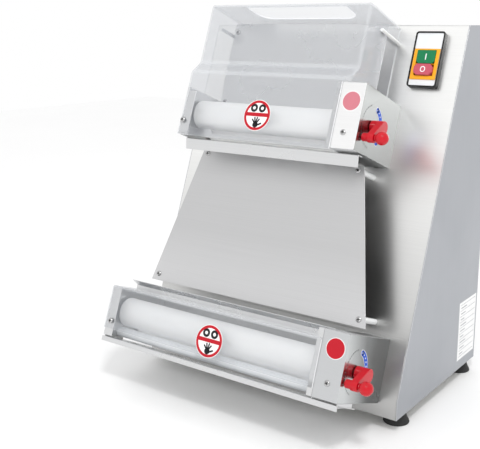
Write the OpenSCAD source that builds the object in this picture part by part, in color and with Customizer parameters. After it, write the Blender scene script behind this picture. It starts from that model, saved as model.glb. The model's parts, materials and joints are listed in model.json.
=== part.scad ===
// Two-stage bench dough sheeter: a sheet-steel body with a leaning front, an upper and a lower roller head,
// a chute between them, thickness levers and the drive inside. +Z is up, the front faces -Y, +X is to the right.
// The origin is on the floor under the middle of the machine. Sizes are in millimetres.

/* [Body] */
// width of the body over its side panels
body_width = 530; // [460:1:620]
// depth of the body at its foot
body_depth = 335; // [300:1:400]
// height of the body above its feet
body_height = 626; // [540:1:740]
// height of the upright strip at the foot of the front
kick_height = 32; // [20:1:45]
// lean of the front panel away from upright, in degrees
lean_angle = 20.6; // [16:0.2:24]
// thickness of the body sheet
sheet = 1.5; // [1.2:0.1:2.5]
// height of the rubber feet
foot_height = 24; // [15:1:40]
// height of the cover plate across the foot of the front, measured up the lean
cover_height = 98; // [80:1:110]

/* [Rollers] */
// diameter of the four rollers
roller_diameter = 53; // [46:1:58]
// gap between the rollers at the thinnest setting
thin_gap = 0.5; // [0.3:0.1:1.5]
// throw of the eccentric axle
eccentric = 2.5; // [1.5:0.1:2.8]
// teeth on each roller gear
gear_teeth = 14; // [13:1:15]

/* [Heads] */
// height of both head boxes, measured up the lean
head_height = 110; // [104:1:120]
// how far the upper head stands out from the front panel
upper_reach = 136; // [130:1:150]
// how far the lower head stands out from the front panel
lower_reach = 149; // [143:1:160]
// distance from the body's left side to the upper head
upper_left_margin = 72; // [40:1:100]
// distance from the body's right side to the upper head
upper_right_margin = 95; // [60:1:110]
// distance from the body's left side to the lower head
lower_left_margin = 13; // [5:1:30]
// distance from the body's right side to the lower head
lower_right_margin = 31; // [20:1:60]
// thickness of the cheek plates
cheek = 4; // [3:0.5:6]
// height of the hood above the upper head
hood_rise = 142; // [110:1:170]
// thickness of the clear sheet of the hood and guard
clear_sheet = 2.5; // [2:0.1:4]
// distance of the chute plate from the front panel
chute_reach = 60; // [50:1:70]

/* [Levers] */
// radius of the ring of index holes
index_radius = 35; // [30:1:38]
// angle of the upper lever at rest, in degrees above straight out
upper_lever_angle = -41.6; // [-60:0.1:60]
// angle of the lower lever at rest, in degrees above straight out
lower_lever_angle = -28; // [-60:0.1:60]

/* [Hidden] */
round_fn = 48;
small_fn = 24;
lean_cos = cos(lean_angle);
lean_sin = sin(lean_angle);
slope_length = (body_height - kick_height) / lean_cos;
half_width = body_width / 2;
inside_half = half_width - sheet;
top_y = (body_height - kick_height) * tan(lean_angle);
seat_gap = 0.05;
run_gap = 0.06;
free_gap = 0.4;

// heads, as positions across (x), out from the panel (d) and up the lean (s)
lower_rise = -9;
lower_left_height = head_height - 22;
lower_top = lower_rise + head_height - 5;
upper_top = slope_length - 5 - hood_rise;
upper_rise = upper_top - head_height;
hood_top = upper_top + hood_rise;
upper_left = upper_left_margin - half_width;
upper_right = half_width - upper_right_margin;
lower_left = lower_left_margin - half_width;
lower_right = half_width - lower_right_margin;
box_width = 44;
upper_wall = upper_right - box_width + 1;
lower_wall = lower_right - box_width;
plate_set = cover_height + 2;

// rollers and shafts
roller_radius = roller_diameter / 2;
centre_reach = roller_diameter + thin_gap + eccentric;
upper_rear_angle = 197.2;
lower_rear_angle = 196.8;
upper_pivot_d = upper_reach - 44;
upper_pivot_s = upper_rise + 49;
lower_pivot_d = lower_reach - 44;
lower_pivot_s = lower_rise + 48.5;
upper_rear_d = upper_pivot_d + centre_reach * cos(upper_rear_angle);
upper_rear_s = upper_pivot_s + centre_reach * sin(upper_rear_angle);
lower_rear_d = lower_pivot_d + centre_reach * cos(lower_rear_angle);
lower_rear_s = lower_pivot_s + centre_reach * sin(lower_rear_angle);
upper_turn = upper_lever_angle + 90 + upper_rear_angle;
lower_turn = lower_lever_angle + 90 + lower_rear_angle;
upper_front_d = upper_pivot_d + eccentric * cos(upper_turn);
upper_front_s = upper_pivot_s + eccentric * sin(upper_turn);
lower_front_d = lower_pivot_d + eccentric * cos(lower_turn);
lower_front_s = lower_pivot_s + eccentric * sin(lower_turn);
journal = 12;
axle_diameter = 16;
sleeve = 29;
bush_outer = 23;
rear_core = 20;
roller_inset = 9;
bearing_outer = 24;
bearing_width = 7;

// gear train positions across, counted from the outer face of each right cheek
gear_start = 3;
gear_width = 14;
chain_mid = 22.5;
plate_start = 30;
plate_thick = 5;
lever_start = 1;
hub_diameter = 21;
hub_length = 24;
sleeve_tube = 14;
knob_diameter = 22;
knob_gap = 1;
side_shift = (half_width - (lower_right + hub_length + knob_diameter + knob_gap)) / 2;
pin_diameter = 6;
tip_diameter = 1.8;
index_hole = 2.4;
index_step = 9;

// drive inside the body
sprocket_root = 17.6;
chain_inner = 15.6;
chain_outer = 20.8;
link_sheet = 1.2;
link_gap = 3.6;
lower_lay_d = -110;
lower_lay_s = 90;
upper_lay_d = -80;
upper_lay_s = upper_rear_s - 10;
motor_y = 250;
motor_z = 92;
motor_radius = 60;
motor_d = -motor_y * lean_cos + (motor_z - kick_height) * lean_sin;
motor_s = motor_y * lean_sin + (motor_z - kick_height) * lean_cos;
big_pulley = 56;
small_pulley = 28;
belt_thick = 6;
belt_width = 10;
lower_chain_x = lower_wall + chain_mid;
upper_chain_x = upper_wall + chain_mid;
rise_chain_x = (lower_chain_x + upper_chain_x) / 2;
belt_x = upper_chain_x;

// ---------- placing helpers ----------
// side_shift and front_y put the origin under the middle of everything that stands out of the body
module on_body() translate([side_shift, front_y, foot_height]) children();
module on_lean()
    translate([side_shift, front_y, foot_height + kick_height]) rotate([-lean_angle, 0, 0]) children();

// a block between x0 and x1, standing out from d0 to d1, from s0 to s1 up the lean
module block(x0, x1, d0, d1, s0, s1) translate([x0, -d1, s0]) cube([x1 - x0, d1 - d0, s1 - s0]);

// a round bar along x at a given d and s
module bar(x0, x1, d, s, dia, fn = round_fn)
    translate([x0, -d, s]) rotate([0, 90, 0]) cylinder(h = x1 - x0, d = dia, $fn = fn);

// a round post standing out from the panel
module post(x, s, d0, d1, dia, fn = small_fn)
    translate([x, -d0, s]) rotate([90, 0, 0]) cylinder(h = d1 - d0, d = dia, $fn = fn);

// a flat outline given in (d, s), made solid between x0 and x1
module profile(x0, x1)
    multmatrix([[0, 0, -1, x1], [-1, 0, 0, 0], [0, 1, 0, 0], [0, 0, 0, 1]])
    linear_extrude(height = x1 - x0) children();

// a flat outline given in (y, z) of the body, made solid between x0 and x1
module side_profile(x0, x1)
    multmatrix([[0, 0, 1, x0], [1, 0, 0, 0], [0, 1, 0, 0], [0, 0, 0, 1]])
    linear_extrude(height = x1 - x0) children();

// a domed screw head with a cross slot, standing out from the panel at d
screw_head = 10;
screw_rise = 3;
module screw(x, s, d)
    difference() {
        translate([x, -d, s]) rotate([90, 0, 0])
            cylinder(h = screw_rise, d1 = screw_head, d2 = screw_head * 0.6, $fn = small_fn);
        block(x - screw_head / 4, x + screw_head / 4, d + screw_rise - 1, d + screw_rise + 1, s - 0.6, s + 0.6);
        block(x - 0.6, x + 0.6, d + screw_rise - 1, d + screw_rise + 1, s - screw_head / 4, s + screw_head / 4);
    }

// ---------- body ----------
module body_outline(inset)
    polygon([
        [inset, inset],
        [inset, kick_height - inset * tan(lean_angle / 2)],
        [top_y - inset * tan(lean_angle) + inset / lean_cos, body_height - inset],
        [body_depth - inset, body_height - inset],
        [body_depth - inset, inset]
    ]);

flange = 14;
module side_panel(side)
    color("silver") on_body()
    difference() {
        union() {
            side_profile(side > 0 ? inside_half : -half_width, side > 0 ? half_width : -inside_half)
                body_outline(0);
            side_profile(side > 0 ? inside_half - flange : -inside_half,
                side > 0 ? inside_half : flange - inside_half)
                difference() {
                    body_outline(sheet + seat_gap);
                    body_outline(2 * sheet + seat_gap);
                }
        }
        translate([side * (inside_half - flange / 2), body_depth / 2, sheet])
            cube([flange + 1, body_depth - 4 * flange, sheet * 4], center = true);
    }
module left_side_panel() side_panel(-1);
module right_side_panel() side_panel(1);

switch_x = half_width - 61.5;
switch_s = slope_length - 64.5;
switch_width = 53;
switch_height = 98;
switch_depth = 12;
switch_hole_w = 38;
switch_hole_h = 60;
slot_width = 16;
module chain_slot(x, s) block(x - slot_width / 2, x + slot_width / 2, -3 * sheet, 3 * sheet, s - 30, s + 30);
lower_slot_s = lower_rear_s + (lower_lay_s - lower_rear_s) * lower_rear_d / (lower_rear_d - lower_lay_d);
upper_slot_s = upper_rear_s + (upper_lay_s - upper_rear_s) * upper_rear_d / (upper_rear_d - upper_lay_d);
module front_panel() color("silver")
    difference() {
        union() {
            on_body() translate([-inside_half, 0, 0]) cube([2 * inside_half, sheet, kick_height]);
            on_lean() block(-inside_half, inside_half, -sheet, 0, 0, slope_length - sheet / lean_cos);
        }
        on_lean() {
            chain_slot(lower_chain_x, lower_slot_s);
            chain_slot(upper_chain_x, upper_slot_s);
            block(switch_x - switch_hole_w / 2, switch_x + switch_hole_w / 2, -9, 9,
                switch_s - switch_hole_h / 2 - 8, switch_s + switch_hole_h / 2 - 8);
        }
    }

module top_panel() color("silver") on_body()
    translate([-inside_half, top_y, body_height - sheet])
    cube([2 * inside_half, body_depth - top_y, sheet]);

vent_rows = 9;
vent_pitch = 14;
vent_length = 90;
vent_height = 5;
gland_x = 150;
gland_z = 60;
gland_hole = 16;
gland_length = 14;
module back_panel() color("silver") on_body()
    difference() {
        translate([-inside_half, body_depth - sheet, sheet])
            cube([2 * inside_half, sheet, body_height - 2 * sheet]);
        for (row = [0 : vent_rows - 1])
            for (side = [-1, 1])
                translate([side * (vent_length * 0.7) - vent_length / 2, body_depth - 3 * sheet, 150 + row * vent_pitch])
                    cube([vent_length, 6 * sheet, vent_height]);
        translate([gland_x, body_depth - 3 * sheet, gland_z]) rotate([-90, 0, 0])
            cylinder(h = 6 * sheet, d = gland_hole, $fn = round_fn);
    }

foot_top = 30;
foot_bottom = 44;
foot_x = half_width - foot_bottom / 2;
foot_front_y = 46;
foot_rear_y = body_depth - foot_bottom / 2;
foot_bore = 8;
module at_feet()
    for (x = [-foot_x, foot_x]) for (y = [foot_front_y, foot_rear_y]) translate([x, y, 0]) children();
module base_plate() color("gray") on_body()
    difference() {
        translate([-inside_half, sheet, 0]) cube([2 * inside_half, body_depth - sheet, sheet]);
        at_feet() translate([0, 0, -1]) cylinder(h = sheet + 2, d = foot_bore + 0.4, $fn = small_fn);
    }

module feet() color("#1a1a1a") on_body() at_feet() {
    translate([0, 0, -foot_height]) cylinder(h = foot_height - 4, d1 = foot_bottom, d2 = foot_top, $fn = round_fn);
    translate([0, 0, -4]) cylinder(h = 4, d = foot_top, $fn = round_fn);
    translate([0, 0, -1]) cylinder(h = sheet + 6, d = foot_bore, $fn = small_fn);
}

// one folded sheet: up the lean over the lower slot, and down the upright strip
cover_fold = -sheet * tan(lean_angle / 2);
cover_drop = kick_height - 1;
module lower_cover() color("silver") on_lean()
    difference() {
        profile(-half_width + 1, half_width - 1) polygon([
            [0, 0],
            [-cover_drop * lean_sin, -cover_drop * lean_cos],
            [sheet * lean_cos - cover_drop * lean_sin, -sheet * lean_sin - cover_drop * lean_cos],
            [sheet, cover_fold],
            [sheet, plate_set],
            [0, plate_set]
        ]);
        chain_slot(lower_chain_x, lower_slot_s);
    }

module cable_gland() color("#1a1a1a") on_body() translate([gland_x, body_depth, gland_z]) rotate([-90, 0, 0])
    difference() {
        union() {
            cylinder(h = 6, d = 24, $fn = 6);
            cylinder(h = gland_length, d = 18, $fn = small_fn);
            translate([0, 0, -12]) cylinder(h = 12, d = gland_hole - 0.2, $fn = small_fn);
            translate([0, 0, -sheet - 5]) cylinder(h = 5, d = 23, $fn = 6);
        }
        translate([0, 0, -13]) cylinder(h = 30, d = 8, $fn = small_fn);
    }

// ---------- switch ----------
housing_w = 46;
housing_h = 54;
housing_s = switch_s - 9;
button_w = 33;
green_h = 23;
red_h = 19;
green_s = housing_s + 12.5;
red_s = housing_s - 10.5;
plate_front = 11;
housing_front = 12.6;
button_back = 5;
green_front = 13.5;
red_front = 17;
module switch_bezel() color("#111111") on_lean()
    difference() {
        block(switch_x - switch_width / 2, switch_x + switch_width / 2, 0, switch_depth,
            switch_s - switch_height / 2, switch_s + switch_height / 2);
        block(switch_x - switch_width / 2 + 2.5, switch_x + switch_width / 2 - 2.5, -1, switch_depth + 1,
            switch_s - switch_height / 2 + 2.5, switch_s + switch_height / 2 - 2.5);
    }
module switch_plate() color("#eceff2") on_lean()
    difference() {
        block(switch_x - switch_width / 2 + 2.6, switch_x + switch_width / 2 - 2.6, 0, plate_front,
            switch_s - switch_height / 2 + 2.6, switch_s + switch_height / 2 - 2.6);
        block(switch_x - housing_w / 2, switch_x + housing_w / 2, -1, plate_front + 1,
            housing_s - housing_h / 2, housing_s + housing_h / 2);
    }
module switch_housing() color("#f5a800") on_lean()
    difference() {
        block(switch_x - housing_w / 2, switch_x + housing_w / 2, 0, housing_front,
            housing_s - housing_h / 2, housing_s + housing_h / 2);
        block(switch_x - button_w / 2 - free_gap, switch_x + button_w / 2 + free_gap, sheet, housing_front + 1,
            green_s - green_h / 2 - free_gap, green_s + green_h / 2 + free_gap);
        block(switch_x - button_w / 2 - free_gap, switch_x + button_w / 2 + free_gap, sheet, housing_front + 1,
            red_s - red_h / 2 - free_gap, red_s + red_h / 2 + free_gap);
    }
module start_button() color("#1c8f4e") on_lean()
    block(switch_x - button_w / 2, switch_x + button_w / 2, button_back, green_front,
        green_s - green_h / 2, green_s + green_h / 2);
module stop_button() color("#d9536a") on_lean()
    block(switch_x - button_w / 2, switch_x + button_w / 2, button_back, red_front,
        red_s - red_h / 2, red_s + red_h / 2);
module switch_body() color("#202020") on_lean()
    difference() {
        block(switch_x - switch_hole_w / 2 + 1, switch_x + switch_hole_w / 2 - 1, -40, 0,
            housing_s - housing_h / 2 + 1, housing_s + housing_h / 2 - 1);
        for (dx = [-8, 0, 8])
            block(switch_x + dx - 2, switch_x + dx + 2, -41, -34, housing_s - 12, housing_s + 12);
    }

// ---------- gears, sprockets, loops ----------
gear_pitch_radius = centre_reach / 2 - 0.8;
gear_tip = gear_pitch_radius + 2.4;
gear_root = gear_pitch_radius - 4.6;
tooth_step = 360 / gear_teeth;
tooth_root_half = tooth_step * 0.2;
tooth_tip_half = tooth_step * 0.075;
function ring(r, a) = [r * cos(a), r * sin(a)];
function gear_points(turn) = [
    for (i = [0 : gear_teeth - 1])
        for (k = [0 : 3])
            ring(k == 0 || k == 3 ? gear_root : gear_tip,
                turn + i * tooth_step + [-tooth_root_half, -tooth_tip_half, tooth_tip_half, tooth_root_half][k])
];
upper_mesh = atan2(upper_rear_s - upper_front_s, upper_rear_d - upper_front_d);
lower_mesh = atan2(lower_rear_s - lower_front_s, lower_rear_d - lower_front_d);

module gear_wheel(x0, x1, d, s, turn) profile(x0, x1) translate([d, s]) polygon(gear_points(turn));

sprocket_teeth = 12;
sprocket_tip = 20;
function sprocket_points() = [
    for (i = [0 : sprocket_teeth - 1])
        for (k = [0 : 3])
            ring(k == 0 || k == 3 ? sprocket_root : sprocket_tip,
                i * 360 / sprocket_teeth + [-9, -4, 4, 9][k])
];
module sprocket_wheel(x, d, s) profile(x - 1.5, x + 1.5) translate([d, s]) polygon(sprocket_points());

arc_steps = 20;
function loop_points(d1, s1, r1, d2, s2, r2) =
    let (along = atan2(s2 - s1, d2 - d1))
    let (reach = sqrt((d2 - d1) * (d2 - d1) + (s2 - s1) * (s2 - s1)))
    let (swing = acos((r1 - r2) / reach))
    concat(
        [for (i = [0 : arc_steps]) [d1, s1] + ring(r1, along + swing + i * (360 - 2 * swing) / arc_steps)],
        [for (i = [0 : arc_steps]) [d2, s2] + ring(r2, along - swing + i * 2 * swing / arc_steps)]
    );
module loop_band(x0, x1, d1, s1, r1, d2, s2, r2, thick) profile(x0, x1)
    difference() {
        polygon(loop_points(d1, s1, r1 + thick, d2, s2, r2 + thick));
        polygon(loop_points(d1, s1, r1, d2, s2, r2));
    }
pin_pitch = 25.4;
pin_thick = 4;
module chain(x, d1, s1, d2, s2) {
    reach = sqrt((d2 - d1) * (d2 - d1) + (s2 - s1) * (s2 - s1));
    along = atan2(s2 - s1, d2 - d1);
    mid = (chain_inner + chain_outer) / 2;
    runs = floor((reach - 24) / pin_pitch / 2);
    for (side = [-1, 1])
        loop_band(x + side * (link_gap + link_sheet) / 2 - link_sheet / 2,
            x + side * (link_gap + link_sheet) / 2 + link_sheet / 2,
            d1, s1, chain_inner, d2, s2, chain_inner, chain_outer - chain_inner);
    for (side = [-1, 1])
        for (i = [-runs : runs])
            bar(x - link_gap / 2 - link_sheet / 2, x + link_gap / 2 + link_sheet / 2,
                d1 + (reach / 2 + i * pin_pitch) * cos(along) + side * mid * cos(along + 90),
                s1 + (reach / 2 + i * pin_pitch) * sin(along) + side * mid * sin(along + 90), pin_thick, 12);
}

// ---------- heads: cheeks, covers, rollers ----------
module cheek_hole(x, d, s, dia) bar(x - 1, x + cheek + 1, d, s, dia);
upper_left_flange = 21;
upper_cheek_top = upper_top - 22;
module upper_left_cheek() color("silver") on_lean()
    difference() {
        union() {
            block(upper_left, upper_left + cheek, 0, upper_reach, upper_rise - 2, upper_cheek_top);
            block(upper_left, upper_left + upper_left_flange, upper_reach - sheet, upper_reach,
                upper_rise - 2, upper_cheek_top - 8);
        }
        cheek_hole(upper_left, upper_pivot_d, upper_pivot_s, bearing_outer + 2 * seat_gap);
        cheek_hole(upper_left, upper_rear_d, upper_rear_s, bearing_outer + 2 * seat_gap);
    }
wall_flange = 10;
front_hole = sleeve + 2 * eccentric + 6;
module right_cheek(wall, reach, back, low, high, pd, ps, rd, rs) difference() {
    union() {
        block(wall - cheek, wall, back, reach, low, high);
        block(wall - wall_flange, wall, reach - sheet, reach, low, high);
    }
    cheek_hole(wall - cheek, pd, ps, front_hole);
    cheek_hole(wall - cheek, rd, rs, bearing_outer + 2 * seat_gap);
}
module upper_right_cheek() color("silver") on_lean()
    right_cheek(upper_wall, upper_reach, 0, upper_rise, upper_top,
        upper_pivot_d, upper_pivot_s, upper_rear_d, upper_rear_s);
module lower_right_cheek() color("silver") on_lean()
    right_cheek(lower_wall, lower_reach, sheet, lower_rise, lower_top,
        lower_pivot_d, lower_pivot_s, lower_rear_d, lower_rear_s);
lower_left_flange = 20;
module lower_left_cheek() color("silver") on_lean()
    difference() {
        union() {
            block(lower_left, lower_left + cheek, sheet, lower_reach, lower_rise, lower_rise + lower_left_height);
            block(lower_left, lower_left + lower_left_flange, lower_reach - sheet, lower_reach,
                lower_rise, lower_rise + lower_left_height);
        }
        cheek_hole(lower_left, lower_pivot_d, lower_pivot_s, bearing_outer + 2 * seat_gap);
        cheek_hole(lower_left, lower_rear_d, lower_rear_s, bearing_outer + 2 * seat_gap);
    }

// folded cover over a gear box, with the ring of index holes round the lever hub
index_first = -5;
index_last = 12;
module gear_cover(wall, right, reach, back, low, high, pd, ps, rest) difference() {
    block(wall, right, back, reach, low, high);
    block(wall - 1, right - sheet, back - 1, reach - sheet, low + sheet, high - sheet);
    bar(right - 2 * sheet, right + sheet, pd, ps, journal + 1);
    for (i = [index_first : index_last])
        bar(right - 2 * sheet, right + sheet, pd + index_radius * cos(rest + i * index_step),
            ps + index_radius * sin(rest + i * index_step), index_hole, 16);
}
module upper_gear_cover() color("silver") on_lean()
    gear_cover(upper_wall, upper_right, upper_reach, 0, upper_rise, upper_top,
        upper_pivot_d, upper_pivot_s, upper_lever_angle);
module lower_gear_cover() color("silver") on_lean()
    gear_cover(lower_wall, lower_right, lower_reach, sheet, lower_rise, lower_top,
        lower_pivot_d, lower_pivot_s, lower_lever_angle);

module bearing_plate(wall, reach, back, low, high, pd, ps, rd, rs) {
    x = wall + plate_start;
    difference() {
        union() {
            block(x, x + plate_thick, back, reach - sheet, low + sheet, high - sheet);
            bar(wall + arm_start - 0.4, x + 1, pd, ps + arm_reach, arm_pin);
        }
        bar(x - 1, x + plate_thick + 1, pd, ps, bearing_outer + 2 * seat_gap);
        bar(x - 1, x + plate_thick + 1, rd, rs, bearing_outer + 2 * seat_gap);
    }
}
module bearing_plates() color("gray") on_lean() {
    bearing_plate(upper_wall, upper_reach, 0, upper_rise, upper_top,
        upper_pivot_d, upper_pivot_s, upper_rear_d, upper_rear_s);
    bearing_plate(lower_wall, lower_reach, sheet, lower_rise, lower_top,
        lower_pivot_d, lower_pivot_s, lower_rear_d, lower_rear_s);
}

module bearing(x, d, s) difference() {
    bar(x, x + bearing_width, d, s, bearing_outer);
    bar(x - 1, x + bearing_width + 1, d, s, journal + 2 * run_gap);
}
lay_bracket_half = 26;
lay_inner_offset = 16;
lower_lay_left = belt_x - lay_inner_offset - bearing_width;
lower_lay_right = lower_chain_x + lay_inner_offset;
upper_lay_left = upper_chain_x - lay_inner_offset - bearing_width;
upper_lay_right = rise_chain_x + lay_inner_offset;
module bearings() color("#8a8f96") on_lean() {
    bearing(upper_left, upper_pivot_d, upper_pivot_s);
    bearing(upper_left, upper_rear_d, upper_rear_s);
    bearing(upper_wall - bearing_width + 2, upper_rear_d, upper_rear_s);
    bearing(upper_wall + plate_start - 1, upper_pivot_d, upper_pivot_s);
    bearing(upper_wall + plate_start - 1, upper_rear_d, upper_rear_s);
    bearing(lower_left, lower_pivot_d, lower_pivot_s);
    bearing(lower_left, lower_rear_d, lower_rear_s);
    bearing(lower_wall - bearing_width + 2, lower_rear_d, lower_rear_s);
    bearing(lower_wall + plate_start - 1, lower_pivot_d, lower_pivot_s);
    bearing(lower_wall + plate_start - 1, lower_rear_d, lower_rear_s);
    bearing(lower_lay_left, lower_lay_d, lower_lay_s);
    bearing(lower_lay_right, lower_lay_d, lower_lay_s);
    bearing(upper_lay_left, upper_lay_d, upper_lay_s);
    bearing(upper_lay_right, upper_lay_d, upper_lay_s);
}

// roller tube from the left cheek to the right cheek
module roller_tube(left, wall, d, s, bore) difference() {
    bar(left + roller_inset, wall - cheek - roller_inset, d, s, roller_diameter, 96);
    bar(left, wall, d, s, bore + 2 * seat_gap);
}
module upper_front_roller() color("#f4f4f2") on_lean()
    roller_tube(upper_left, upper_wall, upper_front_d, upper_front_s, sleeve);
module lower_front_roller() color("#f4f4f2") on_lean()
    roller_tube(lower_left, lower_wall, lower_front_d, lower_front_s, sleeve);
module upper_rear_roller() color("#f4f4f2") on_lean()
    roller_tube(upper_left, upper_wall, upper_rear_d, upper_rear_s, rear_core);
module lower_rear_roller() color("#f4f4f2") on_lean()
    roller_tube(lower_left, lower_wall, lower_rear_d, lower_rear_s, rear_core);

module front_gear(left, wall, d, s, turn) difference() {
    union() {
        bar(left + roller_inset, wall + gear_start + 1, d, s, sleeve);
        gear_wheel(wall + gear_start, wall + gear_start + gear_width, d, s, turn);
    }
    bar(left, wall + gear_start + gear_width + 1, d, s, bush_outer + 2 * run_gap);
}
module upper_front_gear() color("#a8adb3") on_lean()
    front_gear(upper_left, upper_wall, upper_front_d, upper_front_s, upper_mesh);
module lower_front_gear() color("#a8adb3") on_lean()
    front_gear(lower_left, lower_wall, lower_front_d, lower_front_s, lower_mesh);

// bushes between the eccentric axle and the turning sleeve; a torque arm on a loose pin keeps them from turning
bush_length = 24;
arm_start = gear_start + gear_width + 1;
arm_reach = 24;
arm_pin = 5;
module bush_ring(x0, x1, d, s, outer) difference() {
    bar(x0, x1, d, s, outer);
    bar(x0 - 1, x1 + 1, d, s, axle_diameter + 2 * run_gap);
}
module bushes(left, wall, d, s) {
    bush_ring(left + roller_inset, left + roller_inset + bush_length, d, s, bush_outer);
    difference() {
        union() {
            bar(wall - bush_length, wall + arm_start + 2.5, d, s, bush_outer);
            block(wall + arm_start, wall + arm_start + 2.5, d - 7, d + 7, s, s + arm_reach);
            bar(wall + arm_start + 0.2, wall + arm_start + 2.3, d, s + arm_reach, 18);
        }
        bar(wall - bush_length - 1, wall + arm_start + 4, d, s, axle_diameter + 2 * run_gap);
        bar(wall + arm_start - 1, wall + arm_start + 4, d, s + arm_reach, arm_pin + 2 * eccentric + 0.8);
    }
}
module upper_bushes() color("#b08d57") on_lean() bushes(upper_left, upper_wall, upper_front_d, upper_front_s);
module lower_bushes() color("#b08d57") on_lean() bushes(lower_left, lower_wall, lower_front_d, lower_front_s);

module rear_gear(wall, d, s, turn) difference() {
    union() {
        gear_wheel(wall + gear_start, wall + gear_start + gear_width, d, s, turn + 180 + tooth_step / 2);
        bar(wall + gear_start, wall + chain_mid + 4, d, s, rear_core);
        sprocket_wheel(wall + chain_mid, d, s);
    }
    bar(wall, wall + plate_start, d, s, journal + 2 * seat_gap);
}
module upper_rear_gear() color("#a8adb3") on_lean()
    rear_gear(upper_wall, upper_rear_d, upper_rear_s, upper_mesh);
module lower_rear_gear() color("#a8adb3") on_lean()
    rear_gear(lower_wall, lower_rear_d, lower_rear_s, lower_mesh);

module rear_shaft(left, wall, d, s) {
    bar(left + roller_inset, wall - cheek - roller_inset, d, s, rear_core);
    bar(left + 0.5, wall + plate_start + plate_thick, d, s, journal);
}
module upper_rear_shaft() color("#b9bec4") on_lean()
    rear_shaft(upper_left, upper_wall, upper_rear_d, upper_rear_s);
module lower_rear_shaft() color("#b9bec4") on_lean()
    rear_shaft(lower_left, lower_wall, lower_rear_d, lower_rear_s);

// fixed axle: journals on the pivot line, middle offset by the throw
module eccentric_axle(left, wall, right, pd, ps, fd, fs) {
    bar(left + 0.5, left + bearing_width + 2, pd, ps, journal);
    bar(left + bearing_width + 0.6, wall + plate_start - 2, fd, fs, axle_diameter);
    bar(wall + plate_start - 3, right + hub_length - 6, pd, ps, journal);
}
module upper_axle() color("#b9bec4") on_lean()
    eccentric_axle(upper_left, upper_wall, upper_right,
        upper_pivot_d, upper_pivot_s, upper_front_d, upper_front_s);
module lower_axle() color("#b9bec4") on_lean()
    eccentric_axle(lower_left, lower_wall, lower_right,
        lower_pivot_d, lower_pivot_s, lower_front_d, lower_front_s);

// red lever: hub on the axle, arm across its outer end, tube for the plunger
arm_thick = 12;
arm_end = 17;
arm_hub = hub_diameter + 1;
tube_start = 2;
module lever(right, pd, ps, rest) difference() {
    union() {
        bar(right + lever_start, right + hub_length - 1, pd, ps, hub_diameter);
        profile(right + hub_length - arm_thick, right + hub_length)
            polygon(loop_points(pd, ps, arm_hub / 2, pd + index_radius * cos(rest),
                ps + index_radius * sin(rest), arm_end / 2));
        bar(right + tube_start, right + hub_length - 1, pd + index_radius * cos(rest),
            ps + index_radius * sin(rest), sleeve_tube);
    }
    bar(right - 1, right + hub_length - 6 + seat_gap, pd, ps, journal + 2 * seat_gap);
    bar(right - 1, right + hub_length + 1, pd + index_radius * cos(rest),
        ps + index_radius * sin(rest), pin_diameter + 2 * run_gap);
}
module upper_lever() color("#d4152b") on_lean()
    lever(upper_right, upper_pivot_d, upper_pivot_s, upper_lever_angle);
module lower_lever() color("#d4152b") on_lean()
    lever(lower_right, lower_pivot_d, lower_pivot_s, lower_lever_angle);

// spring plunger: tip in an index hole, pin through the tube, ball knob outside
module plunger(right, pd, ps, rest) {
    d = pd + index_radius * cos(rest);
    s = ps + index_radius * sin(rest);
    bar(right + free_gap, right + tube_start + 1, d, s, tip_diameter, small_fn);
    bar(right + tube_start - 1, right + hub_length + 4, d, s, pin_diameter);
    bar(right + hub_length + free_gap, right + hub_length + 5, d, s, 11);
    translate([right + hub_length + knob_diameter / 2 + knob_gap, -d, s])
        sphere(d = knob_diameter, $fn = round_fn);
}
module upper_plunger() color("#d4152b") on_lean()
    plunger(upper_right, upper_pivot_d, upper_pivot_s, upper_lever_angle);
module lower_plunger() color("#d4152b") on_lean()
    plunger(lower_right, lower_pivot_d, lower_pivot_s, lower_lever_angle);

// ---------- upper head trim ----------
inner_left = upper_left + cheek;
inner_right = upper_wall - cheek;
bracket_d = upper_reach - 26;
module upper_scraper() color("#c9ccd0") on_lean() {
    block(inner_left, inner_right, bracket_d, bracket_d + 2, upper_rise + 1, upper_rise + 8);
    block(inner_left, inner_left + 46, bracket_d, bracket_d + 2, upper_rise + 1, upper_rise + 17);
    block(inner_left, inner_left + 54, bracket_d, bracket_d + 2, upper_rise + 1, upper_rise + 9);
    post(inner_left + 46, upper_rise + 9, bracket_d, bracket_d + 2, 16);
}
lip_d = upper_reach - 36;
lip_drop = 22;
module exit_lip() color("silver") on_lean()
    profile(upper_left - 1, upper_right - 4) polygon([
        [lip_d - 6, upper_rise - 2],
        [lip_d + 8, upper_rise - 2],
        [lip_d + 9.5, upper_rise - 3.5],
        [lip_d + 9.5 - 6, upper_rise - lip_drop],
        [lip_d + 8 - 6, upper_rise - lip_drop],
        [lip_d + 8 - 0.4, upper_rise - 3.5],
        [lip_d - 6, upper_rise - 3.5]
    ]);

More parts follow.
